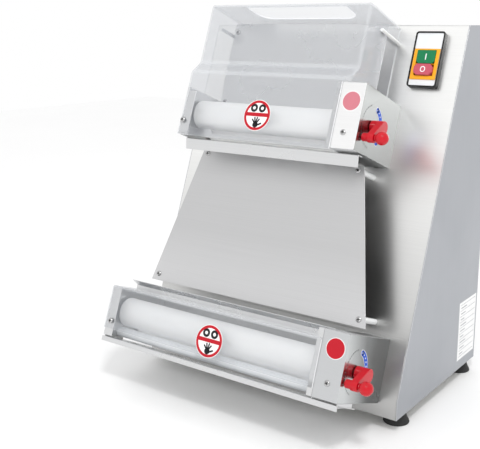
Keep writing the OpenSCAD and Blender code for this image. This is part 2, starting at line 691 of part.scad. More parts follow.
// ---------- hood ----------
hood_right = upper_right - 29;
kink_low = upper_top + 7;
kink_high = upper_top + 30;
kink_in = 16;
hood_base = 0.5;
opening_left = upper_left + 72;
opening_right = hood_right - 54;
opening_near = hood_base + 49.5;
opening_far = upper_reach - 28;
opening_round = 28;
module hood_outline(low, inset) polygon([
    [hood_base - inset, low],
    [hood_base - inset, hood_top - inset],
    [upper_reach - kink_in - inset, hood_top - inset],
    [upper_reach - kink_in - inset, kink_high - inset * 0.35],
    [upper_reach + clear_sheet - inset, kink_low - inset * 0.35],
    [upper_reach + clear_sheet - inset, low]
]);
module hood() color([0.85, 0.9, 0.95, 0.35]) on_lean()
    difference() {
        union() {
            profile(upper_left, hood_right) hood_outline(upper_top + free_gap, 0);
            block(upper_left, upper_left + clear_sheet, hood_base, upper_reach + clear_sheet,
                upper_cheek_top + free_gap, upper_top + 1);
            block(upper_left, upper_wall - 1, upper_reach, upper_reach + clear_sheet, upper_rise - 2, upper_top + 1);
        }
        profile(upper_left + clear_sheet, hood_right - clear_sheet) hood_outline(upper_top - 20, clear_sheet);
        block(opening_left, opening_right, opening_near + opening_round, opening_far, hood_top - 20, hood_top + 9);
        block(opening_left + opening_round, opening_right - opening_round, opening_near, opening_far,
            hood_top - 20, hood_top + 9);
        for (x = [opening_left + opening_round, opening_right - opening_round])
            translate([x, -(opening_near + opening_round), hood_top - 20])
                cylinder(h = 29, r = opening_round, $fn = round_fn);
    }

hopper_reach = 40;
hopper_low = upper_rear_s + roller_radius + 6;
hopper_high = hood_top - 8;
module hopper_plate() color("silver") on_lean() {
    block(inner_left + 2, inner_right - 2, hopper_reach - sheet, hopper_reach, hopper_low, upper_top + 3);
    block(upper_left + clear_sheet + 1, hood_right - clear_sheet - 1, hopper_reach - sheet, hopper_reach,
        upper_top + 2, hopper_high);
}

// ---------- chute ----------
chute_low = lower_top + 9;
chute_high = upper_rise - 11;
chute_mid = -15;
chute_low_half = half_width - 36;
chute_high_half = upper_right;
chute_screw_in = 12;
module chute_plate() color("silver") on_lean()
    translate([0, -chute_reach + sheet, 0]) rotate([90, 0, 0]) linear_extrude(height = sheet)
    polygon([
        [chute_mid - chute_low_half, chute_low],
        [chute_mid + chute_low_half, chute_low],
        [chute_mid + chute_high_half, chute_high],
        [chute_mid - chute_high_half, chute_high]
    ]);

standoff = 10;
function chute_half(s) = chute_low_half
    + (chute_high_half - chute_low_half) * (s - chute_low) / (chute_high - chute_low) - chute_screw_in;
chute_rows = [chute_low + 13, chute_high - 8];
hopper_rows = [upper_top - 22, hopper_high - 17];
function hopper_half(s, side) = side > 0 ? (s > upper_top ? hood_right - 12 : inner_right - 12)
    : (s > upper_top ? -(upper_left + 12) : -(inner_left + 12));
stay_d = 75;
stay_s = hood_top - 31;
module standoffs() color("#eef0f0") on_lean() {
    for (s = chute_rows)
        for (side = [-1, 1])
            post(chute_mid + side * chute_half(s), s, s < plate_set ? sheet : 0, chute_reach - sheet, standoff);
    for (s = hopper_rows)
        for (side = [-1, 1])
            post(side * hopper_half(s, side), s, 0, hopper_reach - sheet, standoff);
    post(hood_right + 3.05, stay_s, 0, stay_d, 6);
    post(upper_left - 3.05, stay_s, 0, stay_d, 6);
}

back_inset = 14;
module panel_screws() color("#d5d8db") {
    on_lean() {
        for (s = chute_rows)
            for (side = [-1, 1])
                screw(chute_mid + side * chute_half(s), s, chute_reach);
        for (s = hopper_rows)
            for (side = [-1, 1])
                screw(side * hopper_half(s, side), s, hopper_reach);
        screw(upper_left + 6, upper_rise + 25, upper_reach + clear_sheet);
        screw(upper_right - 25, upper_rise + 27, upper_reach);
        screw(lower_left + 12, lower_rise + 27, lower_reach + clear_sheet);
        screw(lower_right - 22, lower_rise + 26, lower_reach);
    }
    on_body() for (x = [-1, 1]) for (z = [back_inset, body_height / 2, body_height - back_inset])
        translate([x * (inside_half - back_inset / 2), body_depth, z]) rotate([-90, 0, 0])
            cylinder(h = 2.5, d = screw_head, $fn = small_fn);
}

// ---------- lower head trim ----------
low_inner_left = lower_left + cheek;
low_inner_right = lower_wall - cheek;
guard_top = lower_rise + lower_left_height;
exit_slot = 13;
guide_d = lower_reach - 58;
guide_low = lower_pivot_s + roller_radius + eccentric + 4;
guide_bend = guard_top + 11;
module infeed_guide() color("silver") on_lean()
    profile(low_inner_left, low_inner_right) polygon([
        [guide_d, guide_low],
        [guide_d, guide_bend],
        [guide_d + 16, guide_bend + 7.5],
        [guide_d + 16.6, guide_bend + 6.1],
        [guide_d + sheet, guide_bend - 1],
        [guide_d + sheet, guide_low]
    ]);
module guard() color([0.85, 0.9, 0.95, 0.35]) on_lean() {
    block(lower_left, lower_wall - 1, lower_reach, lower_reach + clear_sheet,
        lower_rise + exit_slot, guard_top + clear_sheet);
    block(lower_left + 1, lower_wall - wall_flange - 1, guide_d + sheet + seat_gap, lower_reach + 1,
        guard_top, guard_top + clear_sheet);
}
scraper_bar = 15;
scraper_d = lower_pivot_d + 7;
scraper_s = lower_rise + 6.5;
module lower_scraper() color("#eef0f0") on_lean() {
    bar(low_inner_left, low_inner_right, scraper_d, scraper_s, scraper_bar);
    block(low_inner_left, low_inner_right, scraper_d - 4, scraper_d, scraper_s, scraper_s + 10);
}
tray_near = lower_pivot_d - 15;
tray_far = lower_reach + 2;
tray_drop = 11;
front_reach = tray_far * lean_cos - (lower_rise - tray_drop) * lean_sin;
front_y = (front_reach - body_depth - gland_length) / 2;
module exit_tray() color("silver") on_lean() {
    profile(lower_left, lower_right + 3) polygon([
        [tray_near, lower_rise - 7],
        [tray_far, lower_rise - 2.5],
        [tray_far, lower_rise - tray_drop],
        [tray_far - sheet, lower_rise - tray_drop],
        [tray_far - sheet, lower_rise - 4.1],
        [tray_near, lower_rise - 8.5]
    ]);
    for (x = [lower_left, lower_wall - sheet, lower_right - sheet])
        block(x, x + sheet, tray_near + 6, tray_far - 6, lower_rise - 6.5, lower_rise);
}

// ---------- drive inside the body ----------
motor_to_belt = 149.5;
motor_x = belt_x - motor_to_belt;
module motor() color("#3c4a55") {
    on_body() translate([motor_x, 0, 0]) difference() {
        union() {
            translate([-90, motor_y, motor_z]) rotate([0, 90, 0]) cylinder(h = 165, r = motor_radius, $fn = round_fn);
            translate([-120, motor_y, motor_z]) rotate([0, 90, 0])
                cylinder(h = 32, r = motor_radius + 2, $fn = round_fn);
            translate([75, motor_y - 48, motor_z - 52]) cube([46, 96, 104]);
            translate([-50, motor_y - 35, motor_z + motor_radius - 6]) cube([80, 70, 30]);
            translate([-75, motor_y + 40, motor_z + motor_radius - 8]) rotate([0, 90, 0])
                cylinder(h = 85, d = 34, $fn = round_fn);
            for (i = [0 : 6])
                translate([-80 + i * 21, motor_y, motor_z]) rotate([0, 90, 0])
                    cylinder(h = 6, r = motor_radius + 3, $fn = round_fn);
        }
        translate([95, motor_y, motor_z]) rotate([0, 90, 0]) cylinder(h = 40, d = 19, $fn = round_fn);
        translate([-121, motor_y, motor_z]) rotate([0, 90, 0]) cylinder(h = 8, r = motor_radius - 14, $fn = round_fn);
    }
}
motor_shaft_dia = 18;
module motor_shaft() color("#a8adb3") on_lean() {
    bar(motor_x + 98, belt_x + 12, motor_d, motor_s, motor_shaft_dia);
    pulley(belt_x, motor_d, motor_s, small_pulley);
}
module pulley(x, d, s, r) {
    bar(x - belt_width / 2 - 2.4, x + belt_width / 2 + 2.4, d, s, 2 * r);
    for (side = [-1, 1])
        bar(x + side * (belt_width / 2 + 1.6) - 1.2, x + side * (belt_width / 2 + 1.6) + 1.2, d, s, 2 * r + 6);
}
module motor_cradle() color("gray") on_body() translate([motor_x, 0, 0])
    difference() {
        union() {
            translate([-100, motor_y - 70, sheet]) cube([230, 140, 4]);
            for (x = [-75, 35])
                translate([x, motor_y - 55, sheet]) cube([16, 110, motor_z - 30]);
        }
        translate([-130, motor_y, motor_z]) rotate([0, 90, 0])
            cylinder(h = 300, r = motor_radius + 3 + seat_gap, $fn = round_fn);
    }
module belt() color("#1a1a1a") on_lean()
    loop_band(belt_x - belt_width / 2, belt_x + belt_width / 2, lower_lay_d, lower_lay_s, big_pulley + free_gap,
        motor_d, motor_s, small_pulley + free_gap, belt_thick);
module lower_lay_shaft() color("#b9bec4") on_lean() {
    bar(lower_lay_left, lower_lay_right + bearing_width, lower_lay_d, lower_lay_s, journal);
    bar(lower_lay_left + bearing_width + 1, lower_lay_right - 1, lower_lay_d, lower_lay_s, rear_core);
    pulley(belt_x, lower_lay_d, lower_lay_s, big_pulley);
    sprocket_wheel(rise_chain_x, lower_lay_d, lower_lay_s);
    sprocket_wheel(lower_chain_x, lower_lay_d, lower_lay_s);
}
module upper_lay_shaft() color("#b9bec4") on_lean() {
    bar(upper_lay_left, upper_lay_right + bearing_width, upper_lay_d, upper_lay_s, journal);
    bar(upper_lay_left + bearing_width + 1, upper_lay_right - 1, upper_lay_d, upper_lay_s, rear_core);
    sprocket_wheel(upper_chain_x, upper_lay_d, upper_lay_s);
    sprocket_wheel(rise_chain_x, upper_lay_d, upper_lay_s);
}
lay_plate = 5;
module lay_bracket(x, d, s) difference() {
    union() {
        block(x + 1, x + 1 + lay_plate, d - 20, -sheet, s - lay_bracket_half, s + lay_bracket_half);
        block(x + 1, x + 14, -sheet - lay_plate, -sheet, s - lay_bracket_half - 12, s + lay_bracket_half + 12);
    }
    bar(x - 1, x + lay_plate + 2, d, s, bearing_outer + 2 * seat_gap);
}
module lay_bracket_left(x, d, s) difference() {
    union() {
        block(x + 1, x + 1 + lay_plate, d - 20, -sheet, s - lay_bracket_half, s + lay_bracket_half);
        block(x - 8, x + 1 + lay_plate, -sheet - lay_plate, -sheet, s - lay_bracket_half - 12,
            s + lay_bracket_half + 12);
    }
    bar(x - 1, x + lay_plate + 2, d, s, bearing_outer + 2 * seat_gap);
}
module lay_brackets() color("gray") on_lean() {
    lay_bracket_left(lower_lay_left, lower_lay_d, lower_lay_s);
    lay_bracket(lower_lay_right, lower_lay_d, lower_lay_s);
    lay_bracket_left(upper_lay_left, upper_lay_d, upper_lay_s);
    lay_bracket(upper_lay_right, upper_lay_d, upper_lay_s);
}
module chains() color("#6b6f74") on_lean() {
    chain(lower_chain_x, lower_lay_d, lower_lay_s, lower_rear_d, lower_rear_s);
    chain(rise_chain_x, lower_lay_d, lower_lay_s, upper_lay_d, upper_lay_s);
    chain(upper_chain_x, upper_lay_d, upper_lay_s, upper_rear_d, upper_rear_s);
}

// ---------- what is drawn ----------

front_panel();
left_side_panel();
right_side_panel();
top_panel();
back_panel();
base_plate();
lower_cover();
feet();
cable_gland();
switch_bezel();
switch_plate();
switch_housing();
start_button();
stop_button();
switch_body();
upper_left_cheek();
upper_right_cheek();
upper_gear_cover();
bearing_plates();
upper_front_roller();
upper_front_gear();
upper_rear_roller();
upper_rear_shaft();
upper_rear_gear();
upper_bushes();
upper_axle();
upper_lever();
upper_plunger();
upper_scraper();
exit_lip();
hood();
hopper_plate();
standoffs();
panel_screws();
chute_plate();
lower_left_cheek();
lower_right_cheek();
lower_gear_cover();
bearings();
lower_front_roller();
lower_front_gear();
lower_rear_roller();
lower_rear_shaft();
lower_rear_gear();
lower_bushes();
lower_axle();
lower_lever();
lower_plunger();
lower_scraper();
guard();
infeed_guide();
exit_tray();
motor();
motor_shaft();
motor_cradle();
belt();
lower_lay_shaft();
upper_lay_shaft();
lay_brackets();
chains();
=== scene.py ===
"""Looks for the bench dough sheeter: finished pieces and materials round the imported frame."""

import json
import math

import bmesh
import bpy
from mathutils import Matrix, Vector


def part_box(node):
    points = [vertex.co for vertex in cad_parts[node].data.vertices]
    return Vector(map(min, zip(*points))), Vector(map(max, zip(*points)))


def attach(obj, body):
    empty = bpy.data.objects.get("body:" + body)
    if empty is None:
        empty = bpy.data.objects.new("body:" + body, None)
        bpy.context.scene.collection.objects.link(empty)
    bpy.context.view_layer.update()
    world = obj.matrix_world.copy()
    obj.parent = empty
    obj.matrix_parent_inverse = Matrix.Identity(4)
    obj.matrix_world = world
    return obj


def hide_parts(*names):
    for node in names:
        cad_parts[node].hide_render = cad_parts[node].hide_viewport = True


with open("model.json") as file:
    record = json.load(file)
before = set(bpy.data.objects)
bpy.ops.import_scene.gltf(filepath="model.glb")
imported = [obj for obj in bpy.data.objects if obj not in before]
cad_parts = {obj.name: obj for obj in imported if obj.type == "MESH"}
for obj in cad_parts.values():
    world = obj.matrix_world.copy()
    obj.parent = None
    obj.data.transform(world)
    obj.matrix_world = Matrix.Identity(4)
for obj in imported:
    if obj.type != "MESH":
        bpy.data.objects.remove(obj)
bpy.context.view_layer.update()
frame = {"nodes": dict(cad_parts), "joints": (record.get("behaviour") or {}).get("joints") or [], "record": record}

# ---------- places taken from the frame ----------
MM = 0.001
NODES = frame["nodes"]
JOINTS = {joint["name"]: joint for joint in frame["joints"]}
BODY_OF = {node: body for body, nodes in frame["record"]["behaviour"]["bodies"].items() for node in nodes}
SLOT_OF = {part["node"]: part["material_slot"] for part in frame["record"]["subparts"]}

KICK = 32 * MM  # upright strip at the foot of the front
ACROSS = Vector((1, 0, 0))
OUT = -Vector(JOINTS["start_press"]["axis"]).normalized()  # straight out of the leaning front
UP = OUT.cross(ACROSS)  # up the leaning front
BODY_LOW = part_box("left_side_panel")[0]
BODY_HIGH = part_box("right_side_panel")[1]
FRONT_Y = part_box("front_panel")[0].y
ORIGIN = Vector((0, FRONT_Y, BODY_LOW.z + KICK))


def lean(x, s, d):
    """The point at x across, s up the leaning front and d out of it."""
    return ORIGIN + ACROSS * x + UP * s + OUT * d


def lean_parts(point):
    """The x, s and d of a point."""
    away = point - ORIGIN
    return point.x, away.dot(UP), away.dot(OUT)


def lean_box(node):
    """Lowest and highest x, s and d of a CAD node."""
    parts = [lean_parts(v.co) for v in NODES[node].data.vertices]
    return [min(p[i] for p in parts) for i in range(3)], [max(p[i] for p in parts) for i in range(3)]


def solids(node):
    """The lowest and highest corner of each separate solid in a CAD node."""
    bm = bmesh.new()
    bm.from_mesh(NODES[node].data)
    bmesh.ops.remove_doubles(bm, verts=bm.verts, dist=1e-6)
    left = set(bm.verts)
    found = []
    while left:
        seed = left.pop()
        group = [seed]
        for vert in group:
            for edge in vert.link_edges:
                other = edge.other_vert(vert)
                if other in left:
                    left.remove(other)
                    group.append(other)
        low = Vector([min(v.co[i] for v in group) for i in range(3)])
        high = Vector([max(v.co[i] for v in group) for i in range(3)])
        found.append((low, high))
    bm.free()
    return sorted(found, key=lambda box: tuple(round(c, 4) for c in box[0]))


# ---------- materials ----------
class Shader:
    """A Principled material whose detail comes from noise in the object's own coordinates."""

    def __init__(self, name, colour, roughness, **sockets):
        self.material = bpy.data.materials.new(name)
        self.material.use_nodes = True
        self.tree = self.material.node_tree
        self.surface = self.tree.nodes["Principled BSDF"]
        self.place = self.tree.nodes.new("ShaderNodeTexCoord").outputs["Object"]
        self.surface.inputs["Base Color"].default_value = (*colour, 1)
        self.surface.inputs["Roughness"].default_value = roughness
        self.colour = colour
        self.normal = None
        for socket, value in sockets.items():
            self.surface.inputs[socket.replace("_", " ")].default_value = value

    def noise(self, scale, stretch=(1, 1, 1), detail=3.0):
        mapping = self.tree.nodes.new("ShaderNodeMapping")
        mapping.inputs["Scale"].default_value = stretch
        texture = self.tree.nodes.new("ShaderNodeTexNoise")
        texture.inputs["Scale"].default_value = scale
        texture.inputs["Detail"].default_value = detail
        self.tree.links.new(self.place, mapping.inputs["Vector"])
        self.tree.links.new(mapping.outputs["Vector"], texture.inputs["Vector"])
        return texture.outputs["Fac"]

    def spread(self, value, low, high, start=0.3, end=0.7):
        node = self.tree.nodes.new("ShaderNodeMapRange")
        for socket, number in zip(("From Min", "From Max", "To Min", "To Max"), (start, end, low, high)):
            node.inputs[socket].default_value = number
        self.tree.links.new(value, node.inputs["Value"])
        return node.outputs["Result"]

    def rough(self, value, low, high):
        self.tree.links.new(self.spread(value, low, high), self.surface.inputs["Roughness"])

    def tint(self, value, dark, light):
        """Varies the colour between dark and light times itself."""
        node = self.tree.nodes.new("ShaderNodeMix")
        node.data_type = "RGBA"
        node.inputs["A"].default_value = (*[c * dark for c in self.colour], 1)
        node.inputs["B"].default_value = (*[min(1.0, c * light) for c in self.colour], 1)
        self.tree.links.new(self.spread(value, 0, 1), node.inputs["Factor"])
        self.tree.links.new(node.outputs["Result"], self.surface.inputs["Base Color"])

    def fade(self, along, start, end, first, last):
        """Multiplies the colour by first at start and last at end of an axis: a painted light-to-shade ramp, a
        painted sheen standing in for how light falls on the sheet.
        """
        split = self.tree.nodes.new("ShaderNodeSeparateXYZ")
        self.tree.links.new(self.place, split.inputs["Vector"])
        factor = self.spread(split.outputs[along], first, last, start, end)
        scale = self.tree.nodes.new("ShaderNodeVectorMath")
        scale.operation = "SCALE"
        colour = self.surface.inputs["Base Color"]
        self.tree.links.new(colour.links[0].from_socket, scale.inputs[0])
        self.tree.links.new(factor, scale.inputs["Scale"])
        self.tree.links.new(scale.outputs["Vector"], colour)

    def bump(self, value, height, strength=1.0):
        node = self.tree.nodes.new("ShaderNodeBump")
        node.inputs["Distance"].default_value = height
        node.inputs["Strength"].default_value = strength
        self.tree.links.new(value, node.inputs["Height"])
        if self.normal:
            self.tree.links.new(self.normal, node.inputs["Normal"])
        self.normal = node.outputs["Normal"]
        self.tree.links.new(self.normal, self.surface.inputs["Normal"])


def steel(name, colour, low, high, stretch, smear=7.0, metallic=1.0, contrast=0.02, fade=None):
    """Brushed sheet: fine lines along the axis that isn't stretched, under faint smears."""
    shader = Shader(name, colour, low, Metallic=metallic)
    lines = shader.noise(1.0, stretch, 2.0)
    clouds = shader.noise(smear, (1, 1, 1), 4.0)
    shader.rough(clouds, low, high)
    shader.tint(lines, 1 - contrast, 1 + contrast)
    # Optional painted light and shade: the colour ramped along one axis.
    if fade:
        shader.fade(*fade)
    shader.bump(lines, 0.015 * MM, 0.25)
    return shader.material


def clear(name, colour, face_on, edge_on, roughness):
    """Clear sheet: lets most of the light through face on and less at a glancing angle."""
    shader = Shader(name, colour, roughness, IOR=1.45)
    nodes, links = shader.tree.nodes, shader.tree.links
    facing = nodes.new("ShaderNodeLayerWeight")
    facing.inputs["Blend"].default_value = 0.25
    see_through = shader.spread(facing.outputs["Facing"], face_on, edge_on, 0, 1)
    links.new(see_through, shader.surface.inputs["Alpha"])
    haze = shader.noise(9.0)
    shader.rough(haze, roughness, roughness + 0.06)
    shader.tint(haze, 0.97, 1.02)
    shader.material.surface_render_method = "BLENDED"
    return shader.material


def plastic(name, colour, low, high, grain=900.0, height=0.02, shine=0.5, mottle=0.04):
    """Moulded or turned plastic: a fine skin texture and slightly uneven gloss."""
    shader = Shader(name, colour, low, Specular_IOR_Level=shine)
    skin = shader.noise(grain)
    clouds = shader.noise(30.0, (1, 1, 1), 4.0)
    shader.rough(clouds, low, high)
    shader.tint(clouds, 1 - mottle, 1 + mottle)
    shader.bump(skin, height * MM, 0.4)
    return shader.material


def rubber(name, colour):
    shader = Shader(name, colour, 0.6, Specular_IOR_Level=0.35)
    dust = shader.noise(60.0, (1, 1, 1), 6.0)
    shader.rough(dust, 0.5, 0.8)
    shader.tint(dust, 0.7, 1.8)
    shader.bump(shader.noise(500.0), 0.05 * MM, 0.6)
    return shader.material


def turned(name, colour, low, high):
    """Machined metal: rings round the x axis, and oil smears."""
    shader = Shader(name, colour, low, Metallic=1.0)
    rings = shader.noise(1.0, (1500, 4, 4), 2.0)
    shader.rough(shader.noise(25.0, (1, 1, 1), 5.0), low, high)
    shader.tint(rings, 0.9, 1.06)
    shader.bump(rings, 0.02 * MM, 0.5)
    return shader.material


def roller_plastic(name, colour):
    """White turned roller: faint rings from the lathe and a little translucency."""
    shader = Shader(name, colour, 0.34, Subsurface_Weight=0.08, Subsurface_Scale=0.004)
    shader.surface.inputs["Subsurface Radius"].default_value = (1.0, 0.9, 0.8)
    rings = shader.noise(1.0, (900, 6, 6), 2.0)
    shader.rough(shader.noise(18.0, (1, 1, 1), 4.0), 0.3, 0.42)
    shader.tint(shader.noise(12.0), 0.985, 1.01)
    shader.bump(rings, 0.01 * MM, 0.4)
    return shader.material


ALONG_X = (5, 1100, 1100)
ALONG_Z = (1100, 1100, 5)
# Front sheet: painted shade darker towards the bottom, and painted light towards the top.
FRONT_STEEL_PAINTED_SHADE = steel("front_steel_painted_shade", (0.82, 0.82, 0.81), 0.3, 0.4, ALONG_X,
                    fade=("Z", 0.05, 0.45, 0.62, 1.14))
# Side sheet: a darker copy of the same steel as painted shade, darker still towards the bottom.
SIDE_STEEL_PAINTED_SHADE = steel("side_steel_painted_shade", (0.46, 0.475, 0.505), 0.3, 0.42, ALONG_Z,
                   fade=("Z", 0.05, 0.6, 0.86, 0.98))
HEAD_STEEL = steel("head_steel", (0.7, 0.705, 0.71), 0.24, 0.34, ALONG_X)
# Cover fronts: a lighter copy (upper) and a darker copy (lower) of the cover steel, as painted light and painted
# shade.
COVER_FRONT_PAINTED_LIGHT = {
    "upper": steel("upper_cover_front_painted_light", (0.9, 0.9, 0.9), 0.3, 0.4, ALONG_X),
    "lower": steel("lower_cover_front_painted_shade", (0.6, 0.61, 0.62), 0.3, 0.4, ALONG_X),
}
# Cover sides: darker copies as painted shade, graded along Y as a painted reflection.
COVER_SIDE_PAINTED_SHADE = {
    "upper": steel("upper_cover_side_painted_shade", (0.36, 0.37, 0.37), 0.2, 0.28, ALONG_Z,
                   fade=("Y", -0.08, 0.02, 1.05, 0.9)),
    "lower": steel("lower_cover_side_painted_shade", (0.38, 0.39, 0.39), 0.2, 0.28, ALONG_Z,
                   fade=("Y", -0.22, -0.15, 1.6, 0.5)),
}
# Chute: painted lighter towards its low end, a painted reflection.
CHUTE_STEEL_PAINTED_LIGHT = steel("chute_steel_painted_light", (0.58, 0.58, 0.585), 0.36, 0.46, ALONG_X, metallic=0.85,
                    fade=("Z", 0.16, 0.28, 1.18, 0.97))
SHADED_STEEL = steel("shaded_steel", (0.03, 0.03, 0.032), 0.5, 0.6, ALONG_X)
# Near-white colour on the rounded sheet edges: a painted highlight.
PAINTED_EDGE_HIGHLIGHT = steel("painted_edge_highlight", (0.95, 0.95, 0.95), 0.3, 0.4, ALONG_X, metallic=0.4)
ZINC = steel("zinc_plate", (0.6, 0.6, 0.57), 0.35, 0.55, (60, 60, 60), 40.0)
GEAR_STEEL = turned("gear_steel", (0.45, 0.46, 0.48), 0.25, 0.45)
BRIGHT_STEEL = turned("bright_steel", (0.78, 0.79, 0.8), 0.12, 0.22)
SCREW_STEEL = turned("screw_steel", (0.5, 0.5, 0.5), 0.16, 0.26)
# Near-black colour in the screw's cross: painted shade in the recess.
SCREW_RECESS_PAINTED_SHADE = turned("screw_recess_painted_shade", (0.04, 0.04, 0.04), 0.4, 0.5)
BRONZE = turned("bronze", (0.62, 0.44, 0.24), 0.3, 0.5)
CLEAR_SHEET = clear("clear_sheet", (0.5, 0.52, 0.56), 0.1, 0.5, 0.04)
# Lighter, more opaque copies of the clear sheet for its bends and rims: painted highlights.
CLEAR_BEND_PAINTED_HIGHLIGHT = clear("clear_bend_painted_highlight", (0.66, 0.68, 0.71), 0.2, 0.75, 0.06)
CLEAR_EDGE_PAINTED_HIGHLIGHT = clear("clear_edge_painted_highlight", (0.96, 0.97, 0.98), 0.9, 0.95, 0.15)
ROLLER_WHITE = roller_plastic("roller_white", (0.94, 0.945, 0.94))
LEVER_RED = plastic("lever_red", (0.54, 0.004, 0.014), 0.08, 0.14, 700.0, 0.02, shine=0.35)
BLACK_PLASTIC = plastic("black_plastic", (0.01, 0.01, 0.011), 0.35, 0.5, shine=0.2)
WHITE_PLASTIC = plastic("white_plastic", (0.8, 0.82, 0.84), 0.35, 0.5)
POST_WHITE = plastic("post_white", (0.84, 0.85, 0.85), 0.3, 0.45)
YELLOW_PLASTIC = plastic("yellow_plastic", (0.92, 0.4, 0.005), 0.3, 0.42)
GREEN_PLASTIC = plastic("green_plastic", (0.008, 0.2, 0.075), 0.28, 0.4, shine=0.3)
RED_PLASTIC = plastic("red_plastic", (0.55, 0.09, 0.13), 0.3, 0.42, shine=0.4)
FOOT_RUBBER = rubber("foot_rubber", (0.018, 0.018, 0.018))
BELT_RUBBER = rubber("belt_rubber", (0.02, 0.02, 0.021))
MOTOR_PAINT = plastic("motor_paint", (0.035, 0.05, 0.065), 0.4, 0.6, 250.0, 0.15)
INK_RED = plastic("ink_red", (0.5, 0.008, 0.02), 0.3, 0.45, shine=0.25)
INK_PINK = plastic("ink_pink", (0.58, 0.19, 0.23), 0.3, 0.45, shine=0.3)
INK_WHITE = plastic("ink_white", (0.88, 0.88, 0.88), 0.35, 0.5)
INK_BLACK = plastic("ink_black", (0.01, 0.01, 0.012), 0.35, 0.5, shine=0.2)
INK_BLUE = plastic("ink_blue", (0.002, 0.08, 0.55), 0.3, 0.45, shine=0.2)
INK_GREY = plastic("ink_grey", (0.3, 0.31, 0.33), 0.4, 0.55)

SLOT_MATERIAL = {
    "steel_sheet": HEAD_STEEL,
    "turned_steel": BRIGHT_STEEL,
    "zinc_steel": ZINC,
    "gear_steel": GEAR_STEEL,
    "bronze": BRONZE,
    "foot_rubber": FOOT_RUBBER,
    "belt_rubber": BELT_RUBBER,
    "black_plastic": BLACK_PLASTIC,
    "white_plastic": WHITE_PLASTIC,
    "roller_plastic": ROLLER_WHITE,
    "yellow_plastic": YELLOW_PLASTIC,
    "green_plastic": GREEN_PLASTIC,
    "red_plastic": RED_PLASTIC,
    "lever_red": LEVER_RED,
    "clear_sheet": CLEAR_SHEET,
    "motor_paint": MOTOR_PAINT,
}
for node, part in NODES.items():
    part.data.materials.clear()
    part.data.materials.append(SLOT_MATERIAL[SLOT_OF[node]])


# ---------- making pieces ----------
def finish_mesh(name, bm, materials, smooth=35):
    """Turns a bmesh into an object, smooth except across edges sharper than the angle."""
    bmesh.ops.recalc_face_normals(bm, faces=bm.faces)
    mesh = bpy.data.meshes.new(name)
    bm.to_mesh(mesh)
    bm.free()
    for material in materials:
        mesh.materials.append(material)
    mesh.shade_smooth()
    mesh.set_sharp_from_angle(angle=math.radians(smooth))
    piece = bpy.data.objects.new(name, mesh)
    bpy.context.scene.collection.objects.link(piece)
    return piece


def stand_for(piece, *nodes):
    """The piece rides where the first node does and stands for all of them."""
    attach(piece, BODY_OF[nodes[0]])
    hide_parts(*nodes)
    return piece


def add_on(piece, body):
    """A piece that stands for no CAD node."""
    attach(piece, body)
    return piece


FLAT_FACES = ("WEIGHTED_NORMAL", {"mode": "FACE_AREA", "weight": 100, "keep_sharp": True})


def with_modifiers(piece, *settings):
    """Adds modifiers one by one and makes their result the piece's own mesh."""
    for kind, values in settings:
        modifier = piece.modifiers.new(kind.title(), kind)
        for key, value in values.items():
            setattr(modifier, key, value)
    graph = bpy.context.evaluated_depsgraph_get()
    mesh = bpy.data.meshes.new_from_object(piece.evaluated_get(graph))
    piece.modifiers.clear()
    piece.data = mesh
    return piece


def rounded(node, width, material=None, shortest=8 * MM, corner=30, edge=None):
    """A copy of a CAD node with its long sharp edges rounded, as bent or cut sheet has them."""
    face_material = material or SLOT_MATERIAL[SLOT_OF[node]]
    bm = bmesh.new()
    bm.from_mesh(NODES[node].data)
    bmesh.ops.remove_doubles(bm, verts=bm.verts, dist=1e-6)
    bmesh.ops.dissolve_limit(bm, angle_limit=math.radians(0.5), verts=bm.verts, edges=bm.edges)
    edges = [
        edge for edge in bm.edges
        if len(edge.link_faces) == 2 and edge.calc_length() >= shortest
        and edge.calc_face_angle() > math.radians(corner)
    ]
    bmesh.ops.bevel(bm, geom=edges, offset=width, segments=2, profile=0.5, affect="EDGES",
                    clamp_overlap=True, material=1)
    piece = finish_mesh(node + "_finished", bm, [face_material, edge or face_material])
    return stand_for(with_modifiers(piece, FLAT_FACES), node)


def lathe(bm, base, axis, profile, steps=64, material=0):
    """Turns (distance along the axis, radius) points round the axis that starts at base."""
    axis = axis.normalized()
    side = axis.orthogonal().normalized()
    other = axis.cross(side)
    rings = []
    for along, radius in profile:
        centre = base + axis * along
        if radius < 1e-7:
            rings.append([bm.verts.new(centre)])
            continue
        rings.append([
            bm.verts.new(centre + (side * math.cos(a) + other * math.sin(a)) * radius)
            for a in (2 * math.pi * i / steps for i in range(steps))
        ])
    for low, high in zip(rings, rings[1:]):
        for i in range(steps):
            j = (i + 1) % steps
            corners = [low[i % len(low)], low[j % len(low)], high[j % len(high)], high[i % len(high)]]
            face = bm.faces.new(list(dict.fromkeys(corners)))
            face.material_index = material


def fillet(along, radius, size, sign, steps=4):
    """Profile points of a rounded rim: sign +1 where the profile arrives at the rim, -1 where it leaves."""
    angles = [math.pi / 2 * i / steps for i in range(steps + 1)]
    points = [(along - size + size * math.sin(a), radius - size + size * math.cos(a)) for a in angles]
    if sign > 0:
        return points
    return [(2 * along - x, r) for x, r in reversed(points)]


def prism(bm, outline, start, rise, material=0, rim=None):
    """A solid between a closed outline of points and the same outline moved by rise."""
    low = [bm.verts.new(p + start) for p in outline]
    high = [bm.verts.new(p + start + rise) for p in outline]
    bm.faces.new(list(reversed(low))).material_index = material
    bm.faces.new(high).material_index = material
    for i in range(len(outline)):
        j = (i + 1) % len(outline)
        face = bm.faces.new([low[i], low[j], high[j], high[i]])
        face.material_index = material if rim is None else rim


